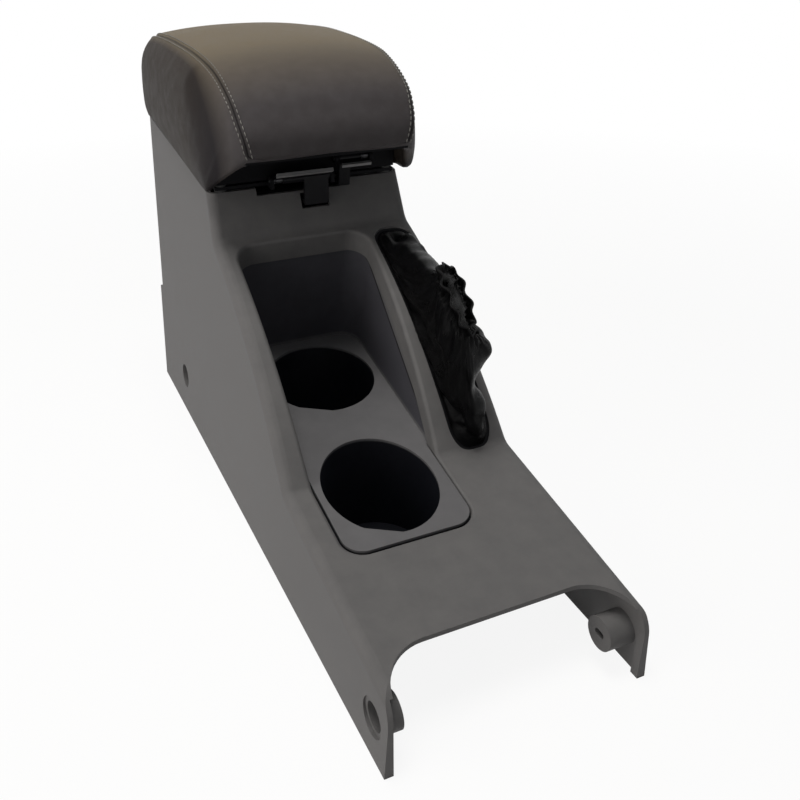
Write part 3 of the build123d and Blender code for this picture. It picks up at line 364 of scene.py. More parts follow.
def finish(name, group, dark, light, rough, bump, settings=None, shader=None, zones=(), shade=None):
    """A material whose colour runs from dark to light, and its roughness over a pair, with the cloud.

    bump is a strength and a height in metres. Each zone is its planes and the tone there, and shade is a mesh
    attribute and the tone where that is one.
    """
    material = bpy.data.materials.new(name)
    tree = new_tree(material)
    bsdf = add(tree, "ShaderNodeBsdfPrincipled", **(shader or {}))
    pattern = add(tree, "ShaderNodeGroup", node_tree=group)
    for label, value in (settings or {}).items():
        pattern.inputs[label].default_value = value
    ramp = add(tree, "ShaderNodeValToRGB")
    for stop, position, colour in zip(ramp.color_ramp.elements, CLOUD_FOR_COLOUR, (dark, light)):
        stop.position, stop.color = position, (*colour, 1)
    tree.links.new(pattern.outputs["Cloud"], ramp.inputs["Fac"])
    colour = ramp.outputs["Color"]
    for planes, tone in zones:
        colour = times_tone(tree, colour, zone_mask(tree, planes), tone)
    if shade:
        attribute = add(tree, "ShaderNodeAttribute", attribute_name=shade[0])
        colour = times_tone(tree, colour, attribute.outputs["Fac"], shade[1])
    relief = add(tree, "ShaderNodeBump", Strength=bump[0], Distance=bump[1])
    tree.links.new(pattern.outputs["Height"], relief.inputs["Height"])
    gloss = carried(tree, pattern.outputs["Cloud"], CLOUD_FOR_GLOSS, rough)
    tree.links.new(colour, bsdf.inputs["Base Color"])
    tree.links.new(gloss, bsdf.inputs["Roughness"])
    tree.links.new(relief.outputs["Normal"], bsdf.inputs["Normal"])
    tree.links.new(bsdf.outputs[0], add(tree, "ShaderNodeOutputMaterial").inputs["Surface"])
    return material


print("one recipe for every finish")

# %% [markdown]
# The shell and the insert are the same dull grey plastic. The cups below the deck are painted near black,
# as painted shade in deep wells, and the pocket's walls get painted shade that makes them darker than the
# plate. Those walls begin below a rolled edge, with a thin dark gap along it, on a line that runs from the
# ramp's foot to the top of the rear wall.

# %% Grey plastic
DULL = {"Specular IOR Level": 0.1}
DECK_POINT, DECK_ANGLE = (0.0, 0.0, 49.5), math.radians(8.915)
DECK_UP = Vector((0, -math.sin(DECK_ANGLE), math.cos(DECK_ANGLE)))
ROLL_POINT, ROLL_UP = (0.0, 294.0, 169.0), Vector((0, -0.573, 0.82))
ROLL_GAP = (-0.9, -0.5)
ABOVE_DECK = (DECK_POINT, DECK_UP, (1.2, 3.0))
# Painted shade: the cups are darkened in the colour below the deck, and the pocket's walls above it
CUP_SHADE = ((DECK_POINT, -DECK_UP, (0.8, 2.2)),)
POCKET_WALL_SHADE = (ABOVE_DECK, (ROLL_POINT, -ROLL_UP, (-0.4, 0.2)))
GAP_LINE = (ABOVE_DECK, (ROLL_POINT, ROLL_UP, ROLL_GAP), (ROLL_POINT, -ROLL_UP, ROLL_GAP))

grey_shell = finish(
    "grey_shell", grain_group, (0.106, 0.104, 0.105), (0.128, 0.125, 0.125),
    rough=(0.52, 0.64), bump=(0.25, 0.0003), shader=DULL)
# The insert's zones are painted shade in the cups and on the pocket walls, plus the dark gap line
grey_insert = finish(
    "grey_insert", grain_group, (0.106, 0.105, 0.109), (0.124, 0.122, 0.127),
    rough=(0.5, 0.62), bump=(0.25, 0.0003), shader=DULL,
    zones=((CUP_SHADE, (0.03, 0.034, 0.05)), (POCKET_WALL_SHADE, (0.5, 0.5, 0.56)), (GAP_LINE, (0.1, 0.1, 0.1))))
print("grey plastics:", grey_shell.name, grey_insert.name)

# %% [markdown]
# The tub, the tray and the lid's base are black and take no light. The latches are a paler plastic, but
# only their front edges show as two light bars: behind a plane just inside those edges the colour is
# painted down to black, as painted shade under the pad's nose. Screws, pins and springs are dark steel,
# and the buffers plain rubber.

# %% Black plastic, latches, steel and rubber
DEEP = {"Specular IOR Level": 0.05}
PADDLE_STATION, PADDLE_FADE = 295.9, (0.0, 0.7)
# Painted shade: behind the paddles' front edges the latch colour is darkened to near black
LATCH_TAIL_SHADE = (((0, PADDLE_STATION, 0), (0, 1, 0), PADDLE_FADE),)

black_plastic = finish(
    "black_plastic", grain_group, (0.005, 0.005, 0.006), (0.008, 0.008, 0.009),
    rough=(0.5, 0.62), bump=(0.3, 0.0003), shader=DEEP)
latch_plastic = finish(
    "latch_plastic", grain_group, (0.2, 0.2, 0.205), (0.25, 0.25, 0.255),
    rough=(0.34, 0.46), bump=(0.1, 0.0002), shader=DULL, zones=((LATCH_TAIL_SHADE, (0.04, 0.04, 0.045)),))
steel = finish(
    "steel", grain_group, (0.07, 0.07, 0.074), (0.1, 0.1, 0.105),
    rough=(0.4, 0.52), bump=(0.05, 0.0001), shader={"Metallic": 1.0})
buffer_rubber = finish(
    "buffer_rubber", grain_group, (0.012, 0.012, 0.012), (0.018, 0.018, 0.018),
    rough=(0.7, 0.82), bump=(0.2, 0.0003))
print("dark finishes:", black_plastic.name, latch_plastic.name, steel.name, buffer_rubber.name)

# %% [markdown]
# The pad's leather is a warm brown grey on top. Towards the nose it gets painted shade, cooler and
# darker, and its flanks get darker painted shade still, which two planes to the left and right of the
# seams give. In the seams themselves the cover dips out of the light, so an attribute on the mesh marks
# them. The boot is a deep, softly shining black.

# %% Leather and thread
# Painted shade: the nose and the flanks of the pad are darkened in the colour
NOSE_TURNS, NOSE_FADE = 335, (0.0, 70.0)
FLANK_BEGINS, FLANK_FADE = 62, (0.0, 7.0)
PAD_NOSE_SHADE = (((0, NOSE_TURNS, 0), (0, -1, 0), NOSE_FADE),)
FLANK_SHADE_TONE = (0.2, 0.2, 0.25)
flank_shade = [((((side * FLANK_BEGINS, 0, 0), (side, 0, 0), FLANK_FADE),), FLANK_SHADE_TONE) for side in (-1, 1)]

# The pad's zones are painted shade on its nose and flanks
pad_leather = finish(
    "pad_leather", leather_group, (0.112, 0.091, 0.062), (0.134, 0.11, 0.076),
    rough=(0.44, 0.54), bump=(0.22, 0.0003), shader={"Specular IOR Level": 0.03},
    zones=((PAD_NOSE_SHADE, (0.5, 0.56, 0.84)), *flank_shade), shade=("seam_shade", (0.12, 0.12, 0.12)))
boot_leather = finish(
    "boot_leather", leather_group, (0.0012, 0.0012, 0.0014), (0.0024, 0.0024, 0.0028),
    rough=(0.26, 0.38), bump=(0.3, 0.0004), settings={"Creases per metre": 480.0},
    shader={"Specular IOR Level": 0.07})
thread_grey = finish(
    "thread_grey", grain_group, (0.15, 0.145, 0.135), (0.22, 0.215, 0.2),
    rough=(0.6, 0.75), bump=(0.2, 0.0002), shader=DULL)
print("soft finishes:", pad_leather.name, boot_leather.name, thread_grey.name)

# %% [markdown]
# The record says which finish each CAD piece has, by the name of its material slot. So the finishes are
# handed out from the record, and no list of pieces is kept here.

# %% Finishes on the CAD pieces
finishes = {
    "grey_shell": grey_shell, "grey_insert": grey_insert, "black_plastic": black_plastic,
    "latch_plastic": latch_plastic, "steel": steel, "buffer_rubber": buffer_rubber,
    "pad_leather": pad_leather, "boot_leather": boot_leather,
}
for part in frame["record"]["subparts"]:
    mesh = nodes[part["node"]].data
    mesh.materials.clear()
    mesh.materials.append(finishes[part["material_slot"]])

# %% [markdown]
# ## Soft shapes
# Soft shapes are easiest to draw as a few measured points joined by a smooth line. This helper runs a
# Catmull-Rom curve through such points and returns places evenly spaced along it. A point can carry more
# than its place, such as a half-width, and that value is then blended along the line as well.

# %% Smooth lines and meshes
STEPS_PER_SPAN = 24


def smooth_path(points, count, along=2):
    """count rows evenly spaced on a smooth line through points; the first columns measure the distance."""
    points = np.asarray(points, float)
    padded = np.vstack([2 * points[0] - points[1], points, 2 * points[-1] - points[-2]])
    rows = []
    for p0, p1, p2, p3 in zip(padded, padded[1:], padded[2:], padded[3:]):
        for share in np.linspace(0, 1, STEPS_PER_SPAN, endpoint=False):
            rows.append(0.5 * (2 * p1 + (p2 - p0) * share + (2 * p0 - 5 * p1 + 4 * p2 - p3) * share ** 2
                               + (3 * p1 - p0 - 3 * p2 + p3) * share ** 3))
    rows = np.vstack(rows + [points[-1]])
    steps = np.r_[0, np.cumsum(np.linalg.norm(np.diff(rows[:, :along], axis=0), axis=1))]
    wanted = np.linspace(0, steps[-1], count)
    return np.column_stack([np.interp(wanted, steps, column) for column in rows.T])


def loop_faces(rows, columns, turned=False):
    """The quads between closed loops of points, turned over where the loops run the other way round."""
    faces = []
    for row in range(rows - 1):
        near, far = row * columns, (row + 1) * columns
        for column in range(columns):
            after = (column + 1) % columns
            quad = (near + column, far + column, far + after, near + after)
            faces.append((quad[0], quad[3], quad[2], quad[1]) if turned else quad)
    return faces


def new_object(name, vertices, faces, material):
    """A smooth-shaded mesh object at the origin, its faces turned outwards by the caller's order."""
    mesh = bpy.data.meshes.new(name)
    mesh.from_pydata([tuple(v) for v in vertices], [], faces)
    mesh.materials.append(material)
    mesh.shade_smooth()
    obj = bpy.data.objects.new(name, mesh)
    bpy.context.scene.collection.objects.link(obj)
    return obj


print("a smooth line has", STEPS_PER_SPAN, "steps between two points")

# %% [markdown]
# Foam swells and leather crumples by themselves, so Blender's cloth does the last step of both soft
# pieces. Some points are pinned, the simulation runs for a few frames, and the moved places are kept.
# Each move is capped, so that no stray point can leave its neighbourhood.

# %% Cloth that settles
def coordinates_of(mesh):
    """A mesh's vertex places as rows."""
    flat = np.empty(len(mesh.vertices) * 3)
    mesh.vertices.foreach_get("co", flat)
    return flat.reshape(-1, 3)


def settle(obj, pin_weights, frames, furthest, gravity=0.0, **cloth_settings):
    """Run Blender's cloth on obj with some points pinned, then keep the result with each move capped."""
    group = obj.vertex_groups.new(name="pinned")
    for index, weight in enumerate(pin_weights):
        if weight > 0:
            group.add([index], float(weight), "REPLACE")
    modifier = obj.modifiers.new("cloth", "CLOTH")
    modifier.settings.vertex_group_mass = group.name
    modifier.settings.effector_weights.gravity = gravity
    for label, value in cloth_settings.items():
        setattr(modifier.settings, label, value)
    modifier.point_cache.frame_end = frames
    for number in range(1, frames + 1):
        bpy.context.scene.frame_set(number)
    depsgraph = bpy.context.evaluated_depsgraph_get()
    moved = coordinates_of(obj.evaluated_get(depsgraph).data)
    bpy.context.scene.frame_set(1)
    obj.modifiers.remove(modifier)
    obj.vertex_groups.remove(group)
    start = coordinates_of(obj.data)
    step = moved - start
    length = np.linalg.norm(step, axis=1, keepdims=True)
    step *= np.minimum(1, furthest / np.maximum(length, 1e-12))
    obj.data.vertices.foreach_set("co", (start + step).ravel())
    obj.data.update()
    print(obj.name, "settled, most", round(float(np.linalg.norm(step, axis=1).max()) * 1000, 1), "mm")


print("quick look, without simulation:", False)

# %% [markdown]
# ## The armrest pad
# The pad is foam under a sewn cover: one long panel runs from the rear over the top and down the nose,
# and a side panel closes each flank. It could be sculpted from a box, but then the seams would be hard to
# find again. So it is drawn as rings round a spine that follows the top panel, with the seams on fixed
# columns of every ring. First come the spine and the lower edge, which say how the pad looks from the
# side.

# %% Side view of the pad
PAD_ROWS = 110
# Each row: station, height of the panel's middle, half-width at the seam, drop from the middle to the seam
PAD_SPINE = (
    (487.5, 237.3, 60.0, 1.5), (491.0, 243.0, 61.0, 2.0), (494.4, 252.0, 61.5, 2.5),
    (495.8, 265.0, 62.0, 3.0), (490.5, 284.5, 62.5, 4.0), (473.0, 301.0, 63.0, 4.6),
    (430.0, 306.0, 63.2, 5.0), (380.0, 306.6, 62.8, 5.0), (335.0, 304.8, 62.0, 4.8),
    (299.0, 298.8, 60.8, 4.3), (271.0, 285.8, 60.0, 3.6), (258.6, 270.8, 58.5, 3.0),
    (254.6, 259.0, 56.5, 2.4), (257.0, 247.0, 54.0, 1.4),
)
# The lower edge, by share of the spine: share, station, rise above the hinge pin square to the lid
PAD_LOWER_EDGE = (
    (0.0, 486.0, -0.9), (0.2, 462.0, -0.9), (0.74, 332.0, -0.9), (0.85, 309.0, -0.8), (0.895, 300.5, 0.2),
    (0.935, 290.0, 8.4), (1.0, 263.0, 28.6),
)
# The lid base's upper face, with its step up under the nose: reach in front of the hinge pin, rise above it
LID_BASE_REACH, LID_BASE_RISE = (9.9, 10.1, 177.4, 177.6, 226.0), (6.6, 2.6, 2.6, 24.2, 30.7)

spine = smooth_path(PAD_SPINE, PAD_ROWS)
heading = np.gradient(spine[:, :2], axis=0)
heading /= np.linalg.norm(heading, axis=1, keepdims=True)
inward = np.column_stack([-heading[:, 1], heading[:, 0]])
shares = np.linspace(0, 1, PAD_ROWS)
edge_share, edge_station, edge_rise = np.array(PAD_LOWER_EDGE).T
lower_station = np.interp(shares, edge_share, edge_station)
lower_height = lid_height(lower_station, np.interp(shares, edge_share, edge_rise))
lower = np.column_stack([lower_station, lower_height])


def lid_base_top(station):
    """Height of the lid base's upper face, where the pad rests."""
    reach = (HINGE_STATION - station) / math.cos(LID_TILT)
    return lid_height(station, np.interp(reach, LID_BASE_REACH, LID_BASE_RISE))


print("pad from station", round(spine[:, 0].min()), "to", round(spine[:, 0].max()))

# %% [markdown]
# Across the pad, the top panel is gently crowned and the side panels are full over the box and flat at
# the nose. Each ring goes over the top, down the right side, back under the roof that rests on the lid's
# base, and up the left side. Columns lie closer together near the seams, where the shape will change
# most.

# %% Rings of the pad
CROWN_POWER = 2.4
SEAM_STEPS = (0.0, 1.2, 2.5, 4.4, 7.5)
TOP_INNER_COLUMNS = 23
NEAR_SEAM_SHARES = (0.06, 0.12, 0.2, 0.3)
SIDE_SHARES = (0.12, 0.24, 0.38, 0.52, 0.66, 0.78, 0.88, 0.95, 1.0)
SIDE_SAMPLES = 60
PAD_SIDE_REACH, PAD_SHOULDER = 75.0, 17.0
# At the nose a side panel reaches less far out: its reach at the first station, and its gain per mm behind
NOSE_STATION, NOSE_REACH, NOSE_SPREAD = 257.0, 58.0, 0.44
# Shares of the spine between which a side panel changes from full to flat, and how straight a flat one is
SIDE_FLATTENS, FLAT_STRAIGHT = (0.70, 0.92), 0.75
PAD_TUCK, PAD_TUCK_HEIGHT = 1.6, 14.0
FLAP_THICK, ROOF_LEAST = 7.0, 1.5


def top_columns(half_width):
    """Sideways places across the top panel, finer towards both seams."""
    near = half_width - np.array(SEAM_STEPS)
    inner = np.linspace(-near[-1], near[-1], TOP_INNER_COLUMNS + 2)[1:-1]
    return np.r_[-near, inner, near[::-1]]


def side_places(seam, edge, seam_x, fullness):
    """Points down a side panel from just below the seam to the lower edge, as (sideways, station, height)."""
    length = np.linalg.norm(edge - seam)
    reach = min(PAD_SIDE_REACH, NOSE_REACH + NOSE_SPREAD * (edge[0] - NOSE_STATION))
    share = np.linspace(0, 1, SIDE_SAMPLES)
    shoulder = PAD_SHOULDER + max(length - PAD_SHOULDER, 0) * (1 - fullness)
    turn = np.clip(share * length / shoulder, 0, 1)
    rounded = 1 - (1 - turn) ** 2
    flat = FLAT_STRAIGHT * turn + (1 - FLAT_STRAIGHT) * rounded
    tuck = PAD_TUCK * (1 - np.clip((1 - share) * length / PAD_TUCK_HEIGHT, 0, 1)) ** 2
    sideways = seam_x + (reach - seam_x - tuck) * (fullness * rounded + (1 - fullness) * flat)
    points = np.column_stack([sideways, seam + (edge - seam) * share[:, None]])
    walked = np.r_[0, np.cumsum(np.linalg.norm(np.diff(points, axis=0), axis=1))]
    near = np.minimum(np.array(SEAM_STEPS[1:]), walked[-1] * np.array(NEAR_SEAM_SHARES))
    wanted = np.r_[near, near[-1] + np.array(SIDE_SHARES) * (walked[-1] - near[-1])]
    return np.column_stack([np.interp(wanted, walked, column) for column in points.T])


def pad_ring(row, fullness):
    """One closed ring of the pad at a row of the spine."""
    middle, half_width, drop = spine[row, :2], spine[row, 2], spine[row, 3]
    across = top_columns(half_width)
    crown = drop * np.abs(across / half_width) ** CROWN_POWER
    top = np.column_stack([across, middle + inward[row] * crown[:, None]])
    right = side_places(top[-1, 1:], lower[row], half_width, fullness)
    inner_x = right[-1, 0] - FLAP_THICK
    inner_low = np.array([inner_x, *lower[row]])
    roof = max(lid_base_top(lower[row, 0]), lower[row, 1] + ROOF_LEAST)
    roof_row = np.array([[x, lower[row, 0], roof] for x in np.linspace(inner_x, -inner_x, len(across))])
    mirror = np.array([-1, 1, 1])
    return np.vstack([top, right, inner_low, roof_row, inner_low * mirror, right[::-1] * mirror])


fullness = np.interp(shares, SIDE_FLATTENS, (1, 0))
rings = np.array([pad_ring(row, fullness[row]) for row in range(PAD_ROWS)])
ring_size = rings.shape[1]
print("pad rings:", PAD_ROWS, "of", ring_size, "points")

# %% [markdown]
# The rings become one closed mesh. Then the cover is blown up a little: cloth with air pressure swells
# the panels between the seams, as foam does that is cut slightly too large. The seams, the lower edges
# and both ends stay pinned, because there the cover is sewn or stapled down.

# %% Pad mesh, swollen between its seams
PAD_PRESSURE, PAD_FRAMES, PAD_SWELL_CAP = 3.0, 16, 0.0022
PAD_STIFFNESS, PAD_BENDING = 20, 2
PINNED_END_ROWS, PINNED_EDGE_COLUMNS = 2, 2

last_ring = (PAD_ROWS - 1) * ring_size
caps = [tuple(range(ring_size)), tuple(range(last_ring, last_ring + ring_size))[::-1]]
pad_faces = loop_faces(PAD_ROWS, ring_size) + caps
pad = new_object("armrest_pad_cover", place(rings.reshape(-1, 3)), pad_faces, pad_leather)

top_count = len(SEAM_STEPS) * 2 + TOP_INNER_COLUMNS
soft_side_count = len(SEAM_STEPS) - 1 + len(SIDE_SHARES) - PINNED_EDGE_COLUMNS
seam_columns = (0, top_count - 1)
soft_columns = set(range(1, top_count - 1))
for step in range(soft_side_count):
    soft_columns |= {top_count + step, ring_size - 1 - step}
pins = np.ones((PAD_ROWS, ring_size))
pins[PINNED_END_ROWS:-PINNED_END_ROWS, sorted(soft_columns)] = 0
settle(pad, pins.ravel(), PAD_FRAMES, PAD_SWELL_CAP, use_pressure=True,
       uniform_pressure_force=PAD_PRESSURE, tension_stiffness=PAD_STIFFNESS,
       compression_stiffness=PAD_STIFFNESS, bending_stiffness=PAD_BENDING)

# %% [markdown]
# A seam pulls the two panels down into a narrow groove, because the stitching is tighter than the foam.
# The groove is made after the simulation by sinking the seam's own column and, less, its neighbours. The
# same columns get the attribute that darkens them. A subdivision surface then rounds the whole cover.

# %% Seam grooves
# By steps away from the seam: depth of the groove in mm, and share of the seam's dark tone
GROOVE = {0: 1.5, 1: 0.7, 2: 0.1}
SEAM_SHADE = {0: 1.0, 1: 0.35}


def near_seam(seam_column, step):
    """Columns a number of steps to each side of a seam, on the top panel and on the side panel."""
    inside = 1 if seam_column == 0 else -1
    return [(seam_column + inside * step) % ring_size, (seam_column - inside * step) % ring_size]


pad.data.update()
normals = np.empty(len(pad.data.vertices) * 3)
pad.data.vertices.foreach_get("normal", normals)
normals = normals.reshape(PAD_ROWS, ring_size, 3)
cover = coordinates_of(pad.data).reshape(PAD_ROWS, ring_size, 3)
shade = np.zeros((PAD_ROWS, ring_size))
for seam_column in seam_columns:
    for step, groove_depth in GROOVE.items():
        for column in set(near_seam(seam_column, step)):
            cover[:, column] -= normals[:, column] * groove_depth * MM
    for step, dark in SEAM_SHADE.items():
        shade[:, near_seam(seam_column, step)] = dark
pad.data.vertices.foreach_set("co", cover.ravel())
pad.data.update()
pad.data.attributes.new("seam_shade", "FLOAT", "POINT").data.foreach_set("value", shade.ravel())
rounding = pad.modifiers.new("rounding", "SUBSURF")
rounding.levels = rounding.render_levels = 1
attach(pad, "lid")
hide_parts("armrest_pad")
print("seams in columns", seam_columns)

# %% [markdown]
# The seams are topstitched with a row of pale thread on each side. Each stitch is the same small spindle
# of thread, so Geometry Nodes lays them: the tree turns a line along the seam into a curve, spaces points
# along it, and puts one stitch at each, turned along the curve and standing square to the leather.

# %% Node tree for a row of stitches
SPINDLE_SEGMENTS, SPINDLE_RINGS = 8, 6


def stitch_tree(material):
    """A node tree that lays stitches along the edges of a line of points with a surface_normal each."""
    tree = bpy.data.node_groups.new("stitch_row", "GeometryNodeTree")
    tree.interface.new_socket("Line", in_out="INPUT", socket_type="NodeSocketGeometry")
    for label in ("Pitch", "Length", "Radius"):
        tree.interface.new_socket(label, in_out="INPUT", socket_type="NodeSocketFloat")
    tree.interface.new_socket("Stitches", in_out="OUTPUT", socket_type="NodeSocketGeometry")
    given, out = tree.nodes.new("NodeGroupInput"), tree.nodes.new("NodeGroupOutput")
    link = tree.links.new

    curve = add(tree, "GeometryNodeMeshToCurve")
    spaced = add(tree, "GeometryNodeResampleCurve", mode="LENGTH")
    link(given.outputs["Line"], curve.inputs["Mesh"])
    link(curve.outputs["Curve"], spaced.inputs["Curve"])
    link(given.outputs["Pitch"], spaced.inputs["Length"])

    spindle = add(tree, "GeometryNodeMeshUVSphere", Segments=SPINDLE_SEGMENTS, Rings=SPINDLE_RINGS,
                  Radius=1.0)
    half_length = add(tree, "ShaderNodeMath", operation="MULTIPLY")
    half_length.inputs[1].default_value = 0.5
    size = add(tree, "ShaderNodeCombineXYZ")
    shaped = add(tree, "GeometryNodeTransform")
    link(given.outputs["Length"], half_length.inputs[0])
    link(half_length.outputs[0], size.inputs["X"])
    link(given.outputs["Radius"], size.inputs["Y"])
    link(given.outputs["Radius"], size.inputs["Z"])
    link(spindle.outputs["Mesh"], shaped.inputs["Geometry"])
    link(size.outputs[0], shaped.inputs["Scale"])

    upward = add(tree, "GeometryNodeInputNamedAttribute", data_type="FLOAT_VECTOR")
    upward.inputs["Name"].default_value = "surface_normal"
    tangent = add(tree, "GeometryNodeInputTangent")
    stand = add(tree, "FunctionNodeAlignRotationToVector", axis="Z")
    along = add(tree, "FunctionNodeAlignRotationToVector", axis="X", pivot_axis="Z")
    link(upward.outputs["Attribute"], stand.inputs["Vector"])
    link(stand.outputs["Rotation"], along.inputs["Rotation"])
    link(tangent.outputs["Tangent"], along.inputs["Vector"])

    laid = add(tree, "GeometryNodeInstanceOnPoints")
    joined = add(tree, "GeometryNodeRealizeInstances")
    smooth = add(tree, "GeometryNodeSetShadeSmooth")
    coloured = add(tree, "GeometryNodeSetMaterial", Material=material)
    link(spaced.outputs["Curve"], laid.inputs["Points"])
    link(shaped.outputs["Geometry"], laid.inputs["Instance"])
    link(along.outputs["Rotation"], laid.inputs["Rotation"])
    link(laid.outputs["Instances"], joined.inputs["Geometry"])
    link(joined.outputs["Geometry"], smooth.inputs["Geometry"])
    link(smooth.outputs["Geometry"], coloured.inputs["Geometry"])
    link(coloured.outputs["Geometry"], out.inputs["Stitches"])
    return tree


stitch_row = stitch_tree(thread_grey)
print("stitch tree:", len(stitch_row.nodes), "nodes")

# %% [markdown]
# The stitch rows lie on the columns next to each groove, so their places are read straight from the
# finished cover, and each point carries the leather's normal. The result is turned into a plain mesh that
# rides on the lid with the pad.

# %% Stitches along the seams
STITCH_PITCH, STITCH_LENGTH, STITCH_RADIUS = 3.6, 2.8, 0.36
STITCH_RISE = 0.1
STITCH_STEP = 2


def set_inputs(modifier, **values):
    """Set a Geometry Nodes modifier's inputs by the names on its tree."""
    for item in modifier.node_group.interface.items_tree:
        if item.item_type == "SOCKET" and item.in_out == "INPUT" and item.name in values:
            modifier[item.identifier] = values[item.name]


def made_real(obj):
    """Replace an object's mesh by what its modifiers make of it."""
    depsgraph = bpy.context.evaluated_depsgraph_get()
    mesh = bpy.data.meshes.new_from_object(obj.evaluated_get(depsgraph))
    obj.modifiers.clear()
    obj.data = mesh
    return obj


lines, line_normals, line_edges = [], [], []
for seam_column in seam_columns:
    for column in near_seam(seam_column, STITCH_STEP):
        first = len(lines)
        lines += list(cover[1:-1, column] + normals[1:-1, column] * STITCH_RISE * MM)
        line_normals += list(normals[1:-1, column])
        line_edges += [(index, index + 1) for index in range(first, len(lines) - 1)]
mesh = bpy.data.meshes.new("pad_stitches")
mesh.from_pydata([tuple(v) for v in lines], line_edges, [])
attribute = mesh.attributes.new("surface_normal", "FLOAT_VECTOR", "POINT")
attribute.data.foreach_set("vector", np.array(line_normals).ravel())
stitches = bpy.data.objects.new("pad_stitches", mesh)
bpy.context.scene.collection.objects.link(stitches)
modifier = stitches.modifiers.new("stitches", "NODES")
modifier.node_group = stitch_row
set_inputs(modifier, Pitch=STITCH_PITCH * MM, Length=STITCH_LENGTH * MM, Radius=STITCH_RADIUS * MM)
made_real(stitches)
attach(stitches, "lid")
print("stitch triangles:", sum(len(p.vertices) - 2 for p in stitches.data.polygons))

# %% [markdown]
# ## The hand-brake boot
# The boot is a limp leather sleeve. Its hem hangs in the frame under the slot, and its narrow end is
# gathered on an elastic that would grip the lever, with a short frill beyond it. It is drawn as closed
# loops: the slot's own outline first, then softly squared loops that climb from the ramp, lean forwards
# and turn their right side down.

# %% Slot and hem
RAMP_FOOT, RAMP_HEAD, RAMP_BULGE = (153.0, 73.5), (298.0, 185.5), 12.0
SLOT_MIDDLE = (53.0, 221.25)
SLOT_HALF_WIDTH, SLOT_HALF_LENGTH, SLOT_CORNER = 14.75, 69.25, 12.0
SLOT_SAMPLES = 120
BOOT_COLUMNS = 180
# Loops in the slot: inset from its edge, sink below the ramp's face
BOOT_HEM = ((2.5, 9.0), (2.3, 1.5))


def ramp_top(station):
    """Height of the ramp's upper face at a station: an arc through its foot and head."""
    run, climb = RAMP_HEAD[0] - RAMP_FOOT[0], RAMP_HEAD[1] - RAMP_FOOT[1]
    chord = math.hypot(run, climb)
    radius = (chord / 2) ** 2 / (2 * RAMP_BULGE) + RAMP_BULGE / 2
    centre_station = (RAMP_FOOT[0] + RAMP_HEAD[0]) / 2 + (radius - RAMP_BULGE) * climb / chord
    centre_height = (RAMP_FOOT[1] + RAMP_HEAD[1]) / 2 - (radius - RAMP_BULGE) * run / chord
    return centre_height + np.sqrt(radius ** 2 - (station - centre_station) ** 2)


def even_loop(points):
    """BOOT_COLUMNS places evenly spaced round a closed loop, from its first point."""
    closed = np.vstack([points, points[:1]])
    walked = np.r_[0, np.cumsum(np.linalg.norm(np.diff(closed, axis=0), axis=1))]
    wanted = np.linspace(0, walked[-1], BOOT_COLUMNS, endpoint=False)
    return np.column_stack([np.interp(wanted, walked, column) for column in closed.T])


def slot_loop(inset, sink):
    """The slot's outline from its rear middle by the left, drawn in and sunk below the ramp's face."""
    half_x, half_s, radius = SLOT_HALF_WIDTH - inset, SLOT_HALF_LENGTH - inset, SLOT_CORNER - inset
    turn = np.linspace(0, 2 * np.pi, SLOT_SAMPLES, endpoint=False)
    x = -np.sign(np.sin(turn)) * (half_x - radius) - radius * np.sin(turn)
    station = np.sign(np.cos(turn)) * (half_s - radius) + radius * np.cos(turn)
    station += SLOT_MIDDLE[1]
    return even_loop(np.column_stack([x + SLOT_MIDDLE[0], station, ramp_top(station) - sink]))


hem_loops = [slot_loop(*hem) for hem in BOOT_HEM]
print("hem loops:", len(hem_loops), "of", BOOT_COLUMNS, "points")

# %% [markdown]
# The standing loops are measured from the straight chord of the ramp: how high over it, and where the
# front and the rear of the loop lie along it. A smooth line through all loops at once then gives the
# sleeve its rows. Each row also keeps its level, which counts the loops from the hem upwards, so that
# later steps can find the ring.

# %% Standing loops
BOOT_ROWS = 76
LOOP_SAMPLES, LOOP_SQUARING = 240, 0.7
# Each loop: height over the chord, front and rear ends along it, width, shift to the right, roll in degrees
BOOT_LOOPS = (
    (17.0, -78.0, 64.0, 26.0, 0.0, 3.0), (32.0, -68.0, 46.0, 27.0, -1.0, 8.0),
    (46.0, -59.0, 28.0, 28.0, -3.0, 16.0), (55.0, -46.0, 16.0, 25.0, -4.5, 23.0),
    (59.5, -39.0, 11.0, 22.0, -5.0, 27.0), (63.0, -38.0, 11.0, 24.0, -5.5, 30.0),
    (66.5, -39.0, 12.0, 27.0, -6.0, 33.0),
)
CHORD_ANGLE = math.atan2(RAMP_HEAD[1] - RAMP_FOOT[1], RAMP_HEAD[0] - RAMP_FOOT[0])
CHORD_MIDDLE = np.array([*SLOT_MIDDLE, (RAMP_FOOT[1] + RAMP_HEAD[1]) / 2])
CHORD_ALONG = np.array([0, math.cos(CHORD_ANGLE), math.sin(CHORD_ANGLE)])
CHORD_UP = np.array([0, -math.sin(CHORD_ANGLE), math.cos(CHORD_ANGLE)])


def squared(wave):
    """A sine or cosine with its round top drawn out towards a square one."""
    return np.sign(wave) * np.abs(wave) ** LOOP_SQUARING


def standing_loop(height, front, rear, width, shift, roll):
    """A softly squared loop over the slot's chord, from its rear middle by the left."""
    turn = np.linspace(0, 2 * np.pi, LOOP_SAMPLES, endpoint=False)
    along = (front + rear) / 2 + squared(np.cos(turn)) * (rear - front) / 2
    sideways = -squared(np.sin(turn)) * width / 2
    rise = height - sideways * math.sin(math.radians(roll))
    sideways = sideways * math.cos(math.radians(roll)) + shift
    return even_loop(CHORD_MIDDLE + sideways[:, None] * np.array([1.0, 0, 0]) + along[:, None] * CHORD_ALONG
                     + rise[:, None] * CHORD_UP)


